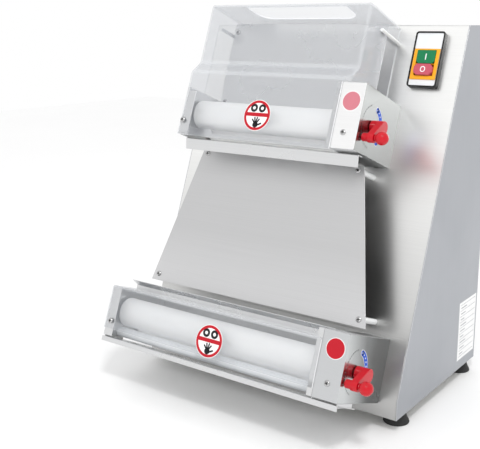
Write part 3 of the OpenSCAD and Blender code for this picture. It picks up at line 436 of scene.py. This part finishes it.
def rounded_rectangle(x, s, width, height, radius, steps=5):
    """Points of a rectangle with round corners, in x and s."""
    points = []
    for turn, (sx, sy) in enumerate(((1, 1), (-1, 1), (-1, -1), (1, -1))):
        cx, cs = x + sx * (width / 2 - radius), s + sy * (height / 2 - radius)
        for i in range(steps + 1):
            a = math.pi / 2 * (turn + i / steps)
            points.append((cx + radius * math.cos(a), cs + radius * math.sin(a)))
    return points


def ring_prism(bm, outer, inner, start, rise, material=0):
    """A frame between two outlines with the same number of points."""
    loops = [[bm.verts.new(p + start + shift) for p in outline]
             for shift in (Vector(), rise) for outline in (outer, inner)]
    low_out, low_in, high_out, high_in = loops
    n = len(outer)
    for i in range(n):
        j = (i + 1) % n
        for a, b in ((low_in, low_out), (low_out, high_out), (high_out, high_in), (high_in, low_in)):
            bm.faces.new([a[i], a[j], b[j], b[i]]).material_index = material


def edge_rounding(bm, width, corner=40, segments=2):
    edges = [e for e in bm.edges if len(e.link_faces) == 2 and e.calc_face_angle() > math.radians(corner)]
    bmesh.ops.bevel(bm, geom=edges, offset=width, segments=segments, profile=0.5, affect="EDGES",
                    clamp_overlap=True)


# ---------- sheet metal ----------
SHEET_EDGE = 0.45 * MM
FOLD = 1.0 * MM


def sheet_metal():
    for node in ("left_side_panel", "right_side_panel"):
        # The side panels' rounded edges take the painted edge highlight.
        rounded(node, 0.7 * MM, SIDE_STEEL_PAINTED_SHADE, edge=PAINTED_EDGE_HIGHLIGHT)
    rounded("front_panel", SHEET_EDGE, FRONT_STEEL_PAINTED_SHADE)
    rounded("lower_cover", SHEET_EDGE, FRONT_STEEL_PAINTED_SHADE)
    rounded("top_panel", SHEET_EDGE, FRONT_STEEL_PAINTED_SHADE)
    rounded("back_panel", SHEET_EDGE, SIDE_STEEL_PAINTED_SHADE, shortest=4 * MM)
    for head, front in COVER_FRONT_PAINTED_LIGHT.items():
        cover = rounded(head + "_gear_cover", FOLD, HEAD_STEEL, edge=front)
        cover.data.materials.append(COVER_SIDE_PAINTED_SHADE[head])
        cover.data.materials.append(SHADED_STEEL)
        # Front faces take the painted-light copy, side faces the painted-shade copy, and inward faces and
        # index-hole walls the near-black painted shade.
        for face in cover.data.polygons:
            if face.normal.x > 0.9:
                face.material_index = 2
            elif face.normal.dot(OUT) > 0.9:
                face.material_index = 1
            elif face.normal.x < -0.9 or face.area < (2 * MM) ** 2:
                face.material_index = 3
    for node in ("upper_left_cheek", "upper_right_cheek", "lower_left_cheek", "lower_right_cheek",
                 "exit_lip", "infeed_guide", "exit_tray", "upper_scraper", "hopper_plate"):
        rounded(node, SHEET_EDGE, HEAD_STEEL)
    chute = rounded("chute_plate", SHEET_EDGE, CHUTE_STEEL_PAINTED_LIGHT)
    chute.data.materials.append(SHADED_STEEL)
    for face in chute.data.polygons:
        if face.normal.dot(OUT) < -0.9:
            face.material_index = 2
    rounded("base_plate", SHEET_EDGE, ZINC)
    rounded("standoffs", 0.4 * MM, POST_WHITE, shortest=0.2 * MM, corner=60)
    rounded("lower_scraper", 0.8 * MM, WHITE_PLASTIC, shortest=0.2 * MM, corner=60)
    rounded("cable_gland", 0.5 * MM, BLACK_PLASTIC, shortest=0.2 * MM, corner=40)


# ---------- rollers ----------
ROLLER_EDGE = 2.5 * MM


def roller(node):
    """A turned roller with a rounded rim at each end and its bore."""
    low, high = lean_box(node)
    radius = (high[1] - low[1]) / 2
    bore = radius * 0.5
    length = high[0] - low[0]
    base = lean(low[0], (low[1] + high[1]) / 2, (low[2] + high[2]) / 2)
    profile = [(0, bore), *fillet(0, radius, ROLLER_EDGE, -1),
               *fillet(length, radius, ROLLER_EDGE, 1), (length, bore)]
    bm = bmesh.new()
    lathe(bm, base, ACROSS, [*profile, profile[0]], 128)
    bmesh.ops.remove_doubles(bm, verts=bm.verts, dist=1e-7)
    stand_for(finish_mesh(node + "_turned", bm, [ROLLER_WHITE]), node)


# ---------- clear hood and guard ----------
HOOD_BEND = 4.5 * MM
GUARD_BEND = 3 * MM
# Solidify gives the rims the next material, the near-white painted rim highlight.
SHEET_SOLID = {"thickness": 2.5 * MM, "offset": -1, "material_offset_rim": 1, "use_even_offset": True}


def skin(polygons):
    """A surface from polygons that share corners."""
    bm = bmesh.new()
    for corners in polygons:
        bm.faces.new([bm.verts.new(corner) for corner in corners])
    bmesh.ops.remove_doubles(bm, verts=bm.verts, dist=1e-6)
    bmesh.ops.recalc_face_normals(bm, faces=bm.faces)
    return bm


def bend_edges(bm, radius, segments=5):
    edges = [e for e in bm.edges if len(e.link_faces) == 2 and e.calc_face_angle() > math.radians(12)]
    # Bend faces take material 2, the lighter painted-highlight copy of the clear sheet.
    bmesh.ops.bevel(bm, geom=edges, offset=radius, segments=segments, profile=0.5, affect="EDGES",
                    clamp_overlap=True, material=2)


def hood():
    """One bent clear sheet: side walls, top with the feed opening, folded front and its skirt."""
    low, high = lean_box("hood")
    cheek_top = lean_box("upper_left_cheek")[1][1]
    head_top = lean_box("upper_gear_cover")[1][1]
    skirt_right = lean_box("upper_right_cheek")[1][0] - 1 * MM
    left, right, top = low[0], high[0], high[1]
    gap = 0.4 * MM
    near, front = low[2], high[2]
    brow = front - 18.5 * MM
    fold_high, fold_low = head_top + 30 * MM, head_top + 7 * MM
    left_foot, right_foot, hem = cheek_top + gap, head_top + gap, low[1]

    def wall(x, foot):
        return [lean(x, s, d) for s, d in ((foot, near), (top, near), (top, brow), (fold_high, brow),
                                           (fold_low, front), (foot, front))]

    def across(s, d):
        return [lean(left, s, d), lean(right, s, d)]

    bm = skin([
        wall(left, left_foot),
        wall(right, right_foot),
        across(top, near) + across(top, brow)[::-1],
        across(top, brow) + across(fold_high, brow)[::-1],
        across(fold_high, brow) + across(fold_low, front)[::-1],
        across(fold_low, front) + [lean(right, right_foot, front), lean(skirt_right, right_foot, front),
                                   lean(skirt_right, hem, front), lean(left, hem, front),
                                   lean(left, left_foot, front)],
    ])
    bend_edges(bm, HOOD_BEND)
    bmesh.ops.recalc_face_normals(bm, faces=bm.faces)
    centre = lean((left + right) / 2, (fold_high + top) / 2, (near + front) / 2)
    if sum((f.calc_center_median() - centre).dot(f.normal) for f in bm.faces) < 0:
        bmesh.ops.reverse_faces(bm, faces=bm.faces)
    mesh = bpy.data.meshes.new("hood_skin")
    bm.to_mesh(mesh)
    bm.free()
    piece = bpy.data.objects.new("hood_bent", mesh)
    bpy.context.scene.collection.objects.link(piece)
    for material in (CLEAR_SHEET, CLEAR_EDGE_PAINTED_HIGHLIGHT, CLEAR_BEND_PAINTED_HIGHLIGHT):
        mesh.materials.append(material)
    cutter = feed_opening_cutter(top)
    with_modifiers(
        piece,
        ("SOLIDIFY", SHEET_SOLID),
        ("BOOLEAN", {"object": cutter, "operation": "DIFFERENCE", "solver": "EXACT"}),
    )
    bpy.data.objects.remove(cutter)
    piece.data.shade_smooth()
    piece.data.set_sharp_from_angle(angle=math.radians(25))
    stand_for(with_modifiers(piece, FLAT_FACES), "hood")


def feed_opening_cutter(top):
    """A prism of the D-shaped opening, through the hood's top."""
    body_mid = (BODY_LOW.x + BODY_HIGH.x) / 2
    left, right = body_mid - 121 * MM, body_mid + 87 * MM
    near, far, corner = 50 * MM, 108 * MM, 28 * MM
    points = [(left, far), (left, near + corner)]
    points += [(left + corner - corner * math.cos(a), near + corner - corner * math.sin(a))
               for a in (math.pi / 2 * i / 12 for i in range(1, 13))]
    points += [(right - corner + corner * math.sin(a), near + corner - corner * math.cos(a))
               for a in (math.pi / 2 * i / 12 for i in range(1, 13))]
    points += [(right, far)]
    bm = bmesh.new()
    prism(bm, [lean(x, top - 10 * MM, d) for x, d in points], Vector(), UP * 20 * MM)
    return finish_mesh("opening_cutter", bm, [CLEAR_EDGE_PAINTED_HIGHLIGHT])


def guard():
    """The lower head's clear front sheet, bent back along its top."""
    low, high = lean_box("guard")
    flange = lean_box("lower_right_cheek")
    back_right = flange[1][0] - 10 * MM - 1 * MM
    left, right = low[0], high[0]
    bm = skin([
        [lean(left, low[1], high[2]), lean(right, low[1], high[2]),
         lean(right, high[1], high[2]), lean(left, high[1], high[2])],
        [lean(left, high[1], high[2]), lean(right, high[1], high[2]),
         lean(back_right, high[1], high[2] - 10 * MM), lean(back_right, high[1], low[2]),
         lean(left, high[1], low[2])],
    ])
    bend_edges(bm, GUARD_BEND)
    for face in bm.faces:
        if face.normal.dot(OUT + UP) < 0:
            face.normal_flip()
    mesh = bpy.data.meshes.new("guard_bent")
    bm.to_mesh(mesh)
    bm.free()
    piece = bpy.data.objects.new("guard_bent", mesh)
    bpy.context.scene.collection.objects.link(piece)
    for material in (CLEAR_SHEET, CLEAR_EDGE_PAINTED_HIGHLIGHT, CLEAR_BEND_PAINTED_HIGHLIGHT):
        mesh.materials.append(material)
    with_modifiers(piece, ("SOLIDIFY", SHEET_SOLID))
    piece.data.shade_smooth()
    piece.data.set_sharp_from_angle(angle=math.radians(25))
    stand_for(with_modifiers(piece, FLAT_FACES), "guard")


# ---------- levers and knobs ----------
INDEX_RADIUS = 35 * MM
HUB_RADIUS = 11 * MM
BOSS_RADIUS = 8.5 * MM
TUBE_RADIUS = 7 * MM
ARM_THICK = 11.5 * MM
MOULD_GRAIN = 0.5 * MM


def round_bar(bm, base, length, radius, rim=1.2 * MM, steps=48):
    profile = [(0, 0), *fillet(0, radius, rim, -1), *fillet(length, radius, rim, 1), (length, 0)]
    lathe(bm, base, ACROSS, profile, steps)


def lever(head):
    """A moulded lever: hub, tapered arm and the tube for the knob's pin, blended as one moulding."""
    node = head + "_lever"
    low, high = lean_box(node)
    pivot = Vector(JOINTS[head + "_lever_turn"]["pos_m"])
    _, pivot_s, pivot_d = lean_parts(pivot)
    knob_low, knob_high = lean_box(head + "_plunger")
    end_s, end_d = (knob_low[1] + knob_high[1]) / 2, (knob_low[2] + knob_high[2]) / 2
    bm = bmesh.new()
    round_bar(bm, lean(low[0], pivot_s, pivot_d), high[0] - low[0] - 0.5 * MM, HUB_RADIUS)
    round_bar(bm, lean(low[0] + 1 * MM, end_s, end_d), high[0] - low[0] - 1.5 * MM, TUBE_RADIUS)
    turn = math.atan2(end_s - pivot_s, end_d - pivot_d)
    swing = math.acos((HUB_RADIUS - BOSS_RADIUS) / INDEX_RADIUS)
    steps = 14
    outline = []
    for s, d, radius, first, sweep in (
            (pivot_s, pivot_d, HUB_RADIUS, turn + swing, 2 * math.pi - 2 * swing),
            (end_s, end_d, BOSS_RADIUS, turn - swing, 2 * swing)):
        for i in range(steps + 1):
            a = first + sweep * i / steps
            outline.append((s + radius * math.sin(a), d + radius * math.cos(a)))
    prism(bm, [lean(0, s, d) for s, d in outline], ACROSS * (high[0] - ARM_THICK), ACROSS * ARM_THICK)
    piece = finish_mesh(node + "_moulded", bm, [LEVER_RED])
    with_modifiers(
        piece,
        ("REMESH", {"mode": "VOXEL", "voxel_size": MOULD_GRAIN}),
        ("SMOOTH", {"factor": 0.5, "iterations": 5}),
        ("DECIMATE", {"ratio": 0.35}),
    )
    piece.data.materials.clear()
    piece.data.materials.append(LEVER_RED)
    piece.data.shade_smooth()
    stand_for(piece, node)


def knob(head):
    """The spring plunger: tip, collar and the red ball, all in the lever's red; the real tip is steel."""
    node = head + "_plunger"
    low, high = lean_box(node)
    s, d = (low[1] + high[1]) / 2, (low[2] + high[2]) / 2
    ball = (high[1] - low[1]) / 2
    length = high[0] - low[0]
    middle = length - ball
    neck = 5 * MM
    reach = math.sqrt(ball ** 2 - neck ** 2)
    arc = math.atan2(neck, -reach)
    ball_points = [(middle + ball * math.cos(a), ball * math.sin(a))
                   for a in (arc * (1 - i / 20) for i in range(21))]
    collar = middle - ball - 0.3 * MM
    tip, pin = 0.9 * MM, 3 * MM
    step = 2.5 * MM
    profile = [(0, 0), *fillet(0, tip, 0.3 * MM, -1), (step, tip), (step, pin), (collar, pin),
               *fillet(collar, 5.5 * MM, 0.3 * MM, -1), (collar + 0.8 * MM, 5.5 * MM), *ball_points]
    bm = bmesh.new()
    lathe(bm, lean(low[0], s, d), ACROSS, profile, 48)
    bmesh.ops.remove_doubles(bm, verts=bm.verts, dist=1e-7)
    stand_for(finish_mesh(node + "_knob", bm, [LEVER_RED], 50), node)


# ---------- feet and screws ----------
def feet():
    """Four rubber feet with a rounded foot ring and a groove under the top flange."""
    bm = bmesh.new()
    for low, high in solids("feet"):
        centre = Vector(((low.x + high.x) / 2, (low.y + high.y) / 2, low.z))
        rise = BODY_LOW.z - low.z
        top, bottom = 15 * MM, (high.x - low.x) / 2
        profile = [(0, 0), (0.4 * MM, bottom - 7 * MM), (0, bottom - 6 * MM),
                   *fillet(0, bottom, 1.6 * MM, -1),
                   (3.5 * MM, bottom - 0.5 * MM), (8 * MM, bottom - 3.2 * MM), (14 * MM, bottom - 5.4 * MM),
                   (rise - 5 * MM, top + 0.4 * MM), (rise - 4.4 * MM, top - 0.8 * MM),
                   (rise - 3.6 * MM, top - 0.8 * MM),
                   (rise - 3 * MM, top), *fillet(rise, top, 0.8 * MM, 1), (rise, 0)]
        lathe(bm, centre, Vector((0, 0, 1)), profile, 64)
    bmesh.ops.remove_doubles(bm, verts=bm.verts, dist=1e-7)
    stand_for(finish_mesh("rubber_feet", bm, [FOOT_RUBBER], 40), "feet")


def screw_template(radius, rise):
    """One pan head with a cross recess, standing along +Z from the origin."""
    bm = bmesh.new()
    dome = [(0, 0), (0, radius), (rise * 0.35, radius), (rise * 0.7, radius * 0.9),
            (rise * 0.92, radius * 0.62), (rise, 0)]
    lathe(bm, Vector(), Vector((0, 0, 1)), dome, 40)
    head = finish_mesh("screw_head", bm, [SCREW_STEEL, SCREW_RECESS_PAINTED_SHADE], 45)
    bm = bmesh.new()
    half, slim = radius * 0.55, radius * 0.14
    outline = [(half, slim), (slim, slim), (slim, half), (-slim, half), (-slim, slim), (-half, slim),
               (-half, -slim), (-slim, -slim), (-slim, -half), (slim, -half), (slim, -slim), (half, -slim)]
    # The cross cutter carries the recess colour, so the cut recess gets the painted shade.
    prism(bm, [Vector((x, y, 0)) for x, y in outline], Vector((0, 0, rise * 0.35)), Vector((0, 0, rise)), 1)
    cross = finish_mesh("screw_cross", bm, [SCREW_STEEL, SCREW_RECESS_PAINTED_SHADE])
    with_modifiers(head, ("BOOLEAN", {"object": cross, "operation": "DIFFERENCE", "solver": "EXACT"}))
    bpy.data.objects.remove(cross)
    mesh = head.data
    bpy.data.objects.remove(head)
    return mesh


def screws():
    bm = bmesh.new()
    boxes = solids("panel_screws")
    for low, high in boxes:
        centre = (low + high) / 2
        behind = centre.y > FRONT_Y + 0.9 * (BODY_HIGH.y - FRONT_Y)
        axis = Vector((0, 1, 0)) if behind else OUT
        radius = (high.x - low.x) / 2
        rise = 2.5 * MM if behind else 3 * MM
        template = screw_template(radius, rise)
        turn = Vector((0, 0, 1)).rotation_difference(axis).to_matrix().to_4x4()
        spin = Matrix.Rotation(math.radians(25 + 40 * len(bm.verts) % 90), 4, "Z")
        template.transform(Matrix.Translation(centre - axis * rise / 2) @ turn @ spin)
        bm.from_mesh(template)
    stand_for(finish_mesh("pan_screws", bm, [SCREW_STEEL, SCREW_RECESS_PAINTED_SHADE], 40), "panel_screws")


# ---------- switch ----------
def lean_outline(points, d):
    return [lean(x, s, d) for x, s in points]


def switch():
    low, high = lean_box("switch_bezel")
    x, s = (low[0] + high[0]) / 2, (low[1] + high[1]) / 2
    width, height, depth = high[0] - low[0], high[1] - low[1], high[2] - low[2]
    wall = 2.4 * MM
    bm = bmesh.new()
    outer = rounded_rectangle(x, s, width, height, 5 * MM)
    inner = rounded_rectangle(x, s, width - 2 * wall, height - 2 * wall, 3 * MM)
    ring_prism(bm, lean_outline(outer, low[2]), lean_outline(inner, low[2]), Vector(), OUT * depth)
    edge_rounding(bm, 0.5 * MM, 60)
    stand_for(finish_mesh("switch_frame", bm, [BLACK_PLASTIC]), "switch_bezel")

    plate_low, plate_high = lean_box("switch_plate")
    house_low, house_high = lean_box("switch_housing")
    bm = bmesh.new()
    plate = rounded_rectangle(x, s, plate_high[0] - plate_low[0], plate_high[1] - plate_low[1], 2.8 * MM)
    window = rounded_rectangle(x, (house_low[1] + house_high[1]) / 2, house_high[0] - house_low[0] - 2 * MM,
                               house_high[1] - house_low[1] - 2 * MM, 1.5 * MM)
    ring_prism(bm, lean_outline(plate, plate_low[2]), lean_outline(window, plate_low[2]), Vector(),
               OUT * (plate_high[2] - plate_low[2] - 0.5 * MM))
    edge_rounding(bm, 0.4 * MM, 60)
    stand_for(finish_mesh("switch_face", bm, [WHITE_PLASTIC]), "switch_plate")
    rounded("switch_housing", 0.7 * MM, YELLOW_PLASTIC, 3 * MM)
    button("start_button", GREEN_PLASTIC, 4 * MM, (0, 1))
    button("stop_button", RED_PLASTIC, 5 * MM, (1, 1))


def button(node, material, cut, cuts):
    """A push button with cut corners, a soft edge and its plain mark."""
    low, high = lean_box(node)
    x, s = (low[0] + high[0]) / 2, (low[1] + high[1]) / 2
    right, top = (high[0] - low[0]) / 2, (high[1] - low[1]) / 2
    upper, lower = cut * cuts[0], cut * cuts[1]
    outline = [(x + right, s - top + lower), (x + right, s + top - upper), (x + right - upper, s + top),
               (x - right + upper, s + top), (x - right, s + top - upper), (x - right, s - top + lower),
               (x - right + lower, s - top), (x + right - lower, s - top)]
    outline = [p for i, p in enumerate(outline) if p != outline[i - 1]]
    bm = bmesh.new()
    prism(bm, lean_outline(outline, low[2]), Vector(), OUT * (high[2] - low[2]))
    edge_rounding(bm, 1.2 * MM, 30, 3)
    stand_for(finish_mesh(node + "_cap", bm, [material]), node)
    bm = bmesh.new()
    if node == "start_button":
        mark = rounded_rectangle(x, s, 1.8 * MM, 11 * MM, 0.8 * MM)
        prism(bm, lean_outline(mark, high[2] - 0.1 * MM), Vector(), OUT * 0.3 * MM)
    else:
        outer = rounded_rectangle(x, s, 9 * MM, 10 * MM, 4 * MM)
        inner = rounded_rectangle(x, s, 6 * MM, 7 * MM, 2.6 * MM)
        ring_prism(bm, lean_outline(outer, high[2] - 0.1 * MM), lean_outline(inner, high[2] - 0.1 * MM),
                   Vector(), OUT * 0.3 * MM)
    add_on(finish_mesh(node + "_mark", bm, [INK_WHITE]), BODY_OF[node])


# ---------- stickers ----------
INK = 0.12 * MM


class Sticker:
    """Flat printed shapes stacked on a face, given in the face's own across and up directions."""

    def __init__(self, name, centre, across, up, materials):
        self.name, self.centre, self.materials = name, centre, materials
        self.across, self.up = across.normalized(), up.normalized()
        self.normal = self.across.cross(self.up)
        self.bm = bmesh.new()

    def point(self, a, b):
        return self.centre + self.across * a + self.up * b

    def area(self, points, material, layer=0):
        outline = [self.point(a, b) for a, b in points]
        prism(self.bm, outline, self.normal * INK * layer, self.normal * INK, material)

    def slab(self, left, low, right, high, material, layer=0):
        self.area([(left, low), (right, low), (right, high), (left, high)], material, layer)

    def disc(self, a, b, radius, material, layer=0, steps=48):
        self.area([(a + radius * math.cos(t), b + radius * math.sin(t))
                   for t in (2 * math.pi * i / steps for i in range(steps))], material, layer)

    def ring(self, a, b, radius, inner, material, layer=0, steps=48):
        turns = [2 * math.pi * i / steps for i in range(steps)]
        outer = [self.point(a + radius * math.cos(t), b + radius * math.sin(t)) for t in turns]
        inside = [self.point(a + inner * math.cos(t), b + inner * math.sin(t)) for t in turns]
        ring_prism(self.bm, outer, inside, self.normal * INK * layer, self.normal * INK, material)

    def bar(self, a0, b0, a1, b1, width, material, layer=0):
        """A stroke with round ends from one point to another."""
        turn = math.atan2(b1 - b0, a1 - a0)
        points = [(a + width / 2 * math.cos(t), b + width / 2 * math.sin(t))
                  for a, b, first in ((a1, b1, turn - math.pi / 2), (a0, b0, turn + math.pi / 2))
                  for t in (first + math.pi * i / 8 for i in range(9))]
        self.area(points, material, layer)

    def done(self, body):
        return add_on(finish_mesh(self.name, self.bm, self.materials, 40), body)


def pinch_warning(name, centre):
    """A plain caution disc: two rollers over a hand, in a red ring with a bar across."""
    tag = Sticker(name, centre, ACROSS, UP, [INK_WHITE, INK_RED, INK_BLACK])
    radius = 26.5 * MM
    tag.disc(0, 0, radius + 1 * MM, 0)
    tag.ring(0, 0, radius, radius - 4.6 * MM, 1, 1)
    tag.slab(-22.4 * MM, -2 * MM, 22.4 * MM, 4.6 * MM, 1, 1)
    for side in (-1, 1):
        tag.ring(side * 8.4 * MM, 12.8 * MM, 7.2 * MM, 3 * MM, 2, 1)
    palm = -16.5 * MM
    tag.disc(0, palm, 5.4 * MM, 2, 1, 24)
    for lean_out, length in ((-38, 11), (-13, 12.6), (9, 12.8), (31, 11.4)):
        a = math.radians(lean_out)
        tag.bar(3.6 * MM * math.sin(a), palm + 3 * MM, (length + 1) * MM * math.sin(a),
                palm + length * MM * math.cos(a), 2.6 * MM, 2, 1)
    tag.bar(3 * MM, palm - 1 * MM, 10.8 * MM, palm + 2.6 * MM, 3 * MM, 2, 1)
    tag.done("frame")


def dot_label(name, head, x, s, ink):
    """A coloured dot with a thin pale rim."""
    d = lean_box(head + "_gear_cover")[1][2]
    tag = Sticker(name, lean(x, s, d), ACROSS, UP, [INK_WHITE, ink])
    tag.disc(0, 0, 16.5 * MM, 0)
    tag.disc(0, 0, 15.5 * MM, 1, 1)
    tag.done("frame")


def thickness_scale(name, head):
    """A crescent round the lever that widens with the thickness, with pale dots in it."""
    cover_right = lean_box(head + "_gear_cover")[1][0]
    _, pivot_s, pivot_d = lean_parts(Vector(JOINTS[head + "_lever_turn"]["pos_m"]))
    tag = Sticker(name, lean(cover_right, pivot_s, pivot_d), -OUT, UP, [INK_BLUE, INK_WHITE])
    start, end, middle, steps = 108, 216, 32 * MM, 24

    def at(angle, radius):
        return -radius * math.cos(math.radians(angle)), radius * math.sin(math.radians(angle))

    def half_width(i):
        return (4.4 + 1.8 * i / steps) * MM

    for extra, material, layer in ((0.9 * MM, 1, 0), (0, 0, 1)):
        angles = [start - extra * 900 + (end - start + extra * 1800) * i / steps for i in range(steps + 1)]
        outside = [at(a, middle + half_width(i) + extra) for i, a in enumerate(angles)]
        inside = [at(a, middle - half_width(i) - extra) for i, a in enumerate(angles)]
        for i in range(steps):
            tag.area([outside[i], inside[i], inside[i + 1], outside[i + 1]], material, layer)
        for i in (0, steps):
            tag.disc(*at(angles[i], middle), half_width(i) + extra, material, layer, 24)
    for i in range(8):
        a, b = at(start + 13.5 * i, middle)
        tag.disc(a, b, (1.1 + 0.12 * i) * MM, 1, 2, 20)
    tag.done("frame")


def rating_label():
    """A pale label of empty ruled rows on the right side panel, low at the back."""
    side = BODY_HIGH.x
    width, height = 80 * MM, 112 * MM
    centre = Vector((side, FRONT_Y + 289 * MM, BODY_LOW.z + 74 * MM))
    tag = Sticker("rating_label", centre, Vector((0, 1, 0)), Vector((0, 0, 1)), [INK_WHITE, INK_GREY])
    tag.slab(-width / 2, -height / 2, width / 2, height / 2, 0)
    rows = 9
    for row in range(rows + 1):
        b = -height / 2 + 6 * MM + row * (height - 12 * MM) / rows
        tag.slab(-width / 2 + 5 * MM, b, width / 2 - 5 * MM, b + 0.7 * MM, 1, 1)
        if row < rows:
            tag.bar(-width / 2 + 9 * MM, b + 5.5 * MM, -width / 2 + (24 + 5 * (row % 3)) * MM, b + 5.5 * MM,
                    1.6 * MM, 1, 1)
    tag.done("frame")


def stickers():
    body_mid = (BODY_LOW.x + BODY_HIGH.x) / 2
    hood_front = lean_box("hood")[1][2]
    guard_front = lean_box("guard")[1][2]
    pinch_warning("upper_warning", lean(body_mid - 25.7 * MM, 420.5 * MM, hood_front))
    pinch_warning("lower_warning", lean(body_mid - 15.5 * MM, 29.6 * MM, guard_front))
    dot_label("upper_dot", "upper", body_mid + 148.9 * MM, 456.4 * MM, INK_PINK)
    dot_label("lower_dot", "lower", body_mid + 214.6 * MM, 69.9 * MM, INK_RED)
    thickness_scale("upper_scale", "upper")
    thickness_scale("lower_scale", "lower")
    rating_label()


# ---------- floor, light and camera ----------
def studio():
    bpy.ops.mesh.primitive_plane_add(size=9, location=(0, 0, 0))
    floor = bpy.context.object
    floor.name = "floor"
    ground = Shader("floor_paper", (0.97, 0.97, 0.97), 0.85, Specular_IOR_Level=0.1)
    ground.tint(ground.noise(2.0), 0.995, 1.005)
    floor.data.materials.append(ground.material)

    world = bpy.data.worlds.new("studio")
    world.use_nodes = True
    background = world.node_tree.nodes["Background"]
    background.inputs["Color"].default_value = (1, 1, 1, 1)
    background.inputs["Strength"].default_value = 1.0
    bpy.context.scene.world = world

    def soft_light(name, place, aim, size, power):
        lamp = bpy.data.lights.new(name, "AREA")
        lamp.shape = "RECTANGLE"
        lamp.size, lamp.size_y = size
        lamp.energy = power
        lit = bpy.data.objects.new(name, lamp)
        lit.location = place
        lit.rotation_euler = (Vector(aim) - Vector(place)).to_track_quat("-Z", "Y").to_euler()
        bpy.context.scene.collection.objects.link(lit)

    soft_light("key", (1.0, -1.3, 2.2), (0.1, 0, 0.3), (0.35, 0.35), 20)


def camera():
    """The viewpoint, placed from the body's foot and turned to see its front and right side."""
    data = bpy.data.cameras.new("camera")
    data.sensor_width = 36
    data.lens = 62.29
    data.shift_y = -0.052
    eye = bpy.data.objects.new("camera", data)
    body_mid = (BODY_LOW.x + BODY_HIGH.x) / 2
    eye.location = (body_mid + 0.796, FRONT_Y - 1.147, BODY_LOW.z + 0.6256)
    eye.rotation_euler = (math.radians(90 - 11.85), 0, math.radians(36.36))
    bpy.context.scene.collection.objects.link(eye)
    bpy.context.scene.camera = eye


sheet_metal()
for roller_node in ("upper_front_roller", "upper_rear_roller", "lower_front_roller", "lower_rear_roller"):
    roller(roller_node)
hood()
guard()
for head_name in ("upper", "lower"):
    lever(head_name)
    knob(head_name)
feet()
screws()
switch()
stickers()
studio()
camera()
bpy.context.scene.view_settings.view_transform = "Standard"
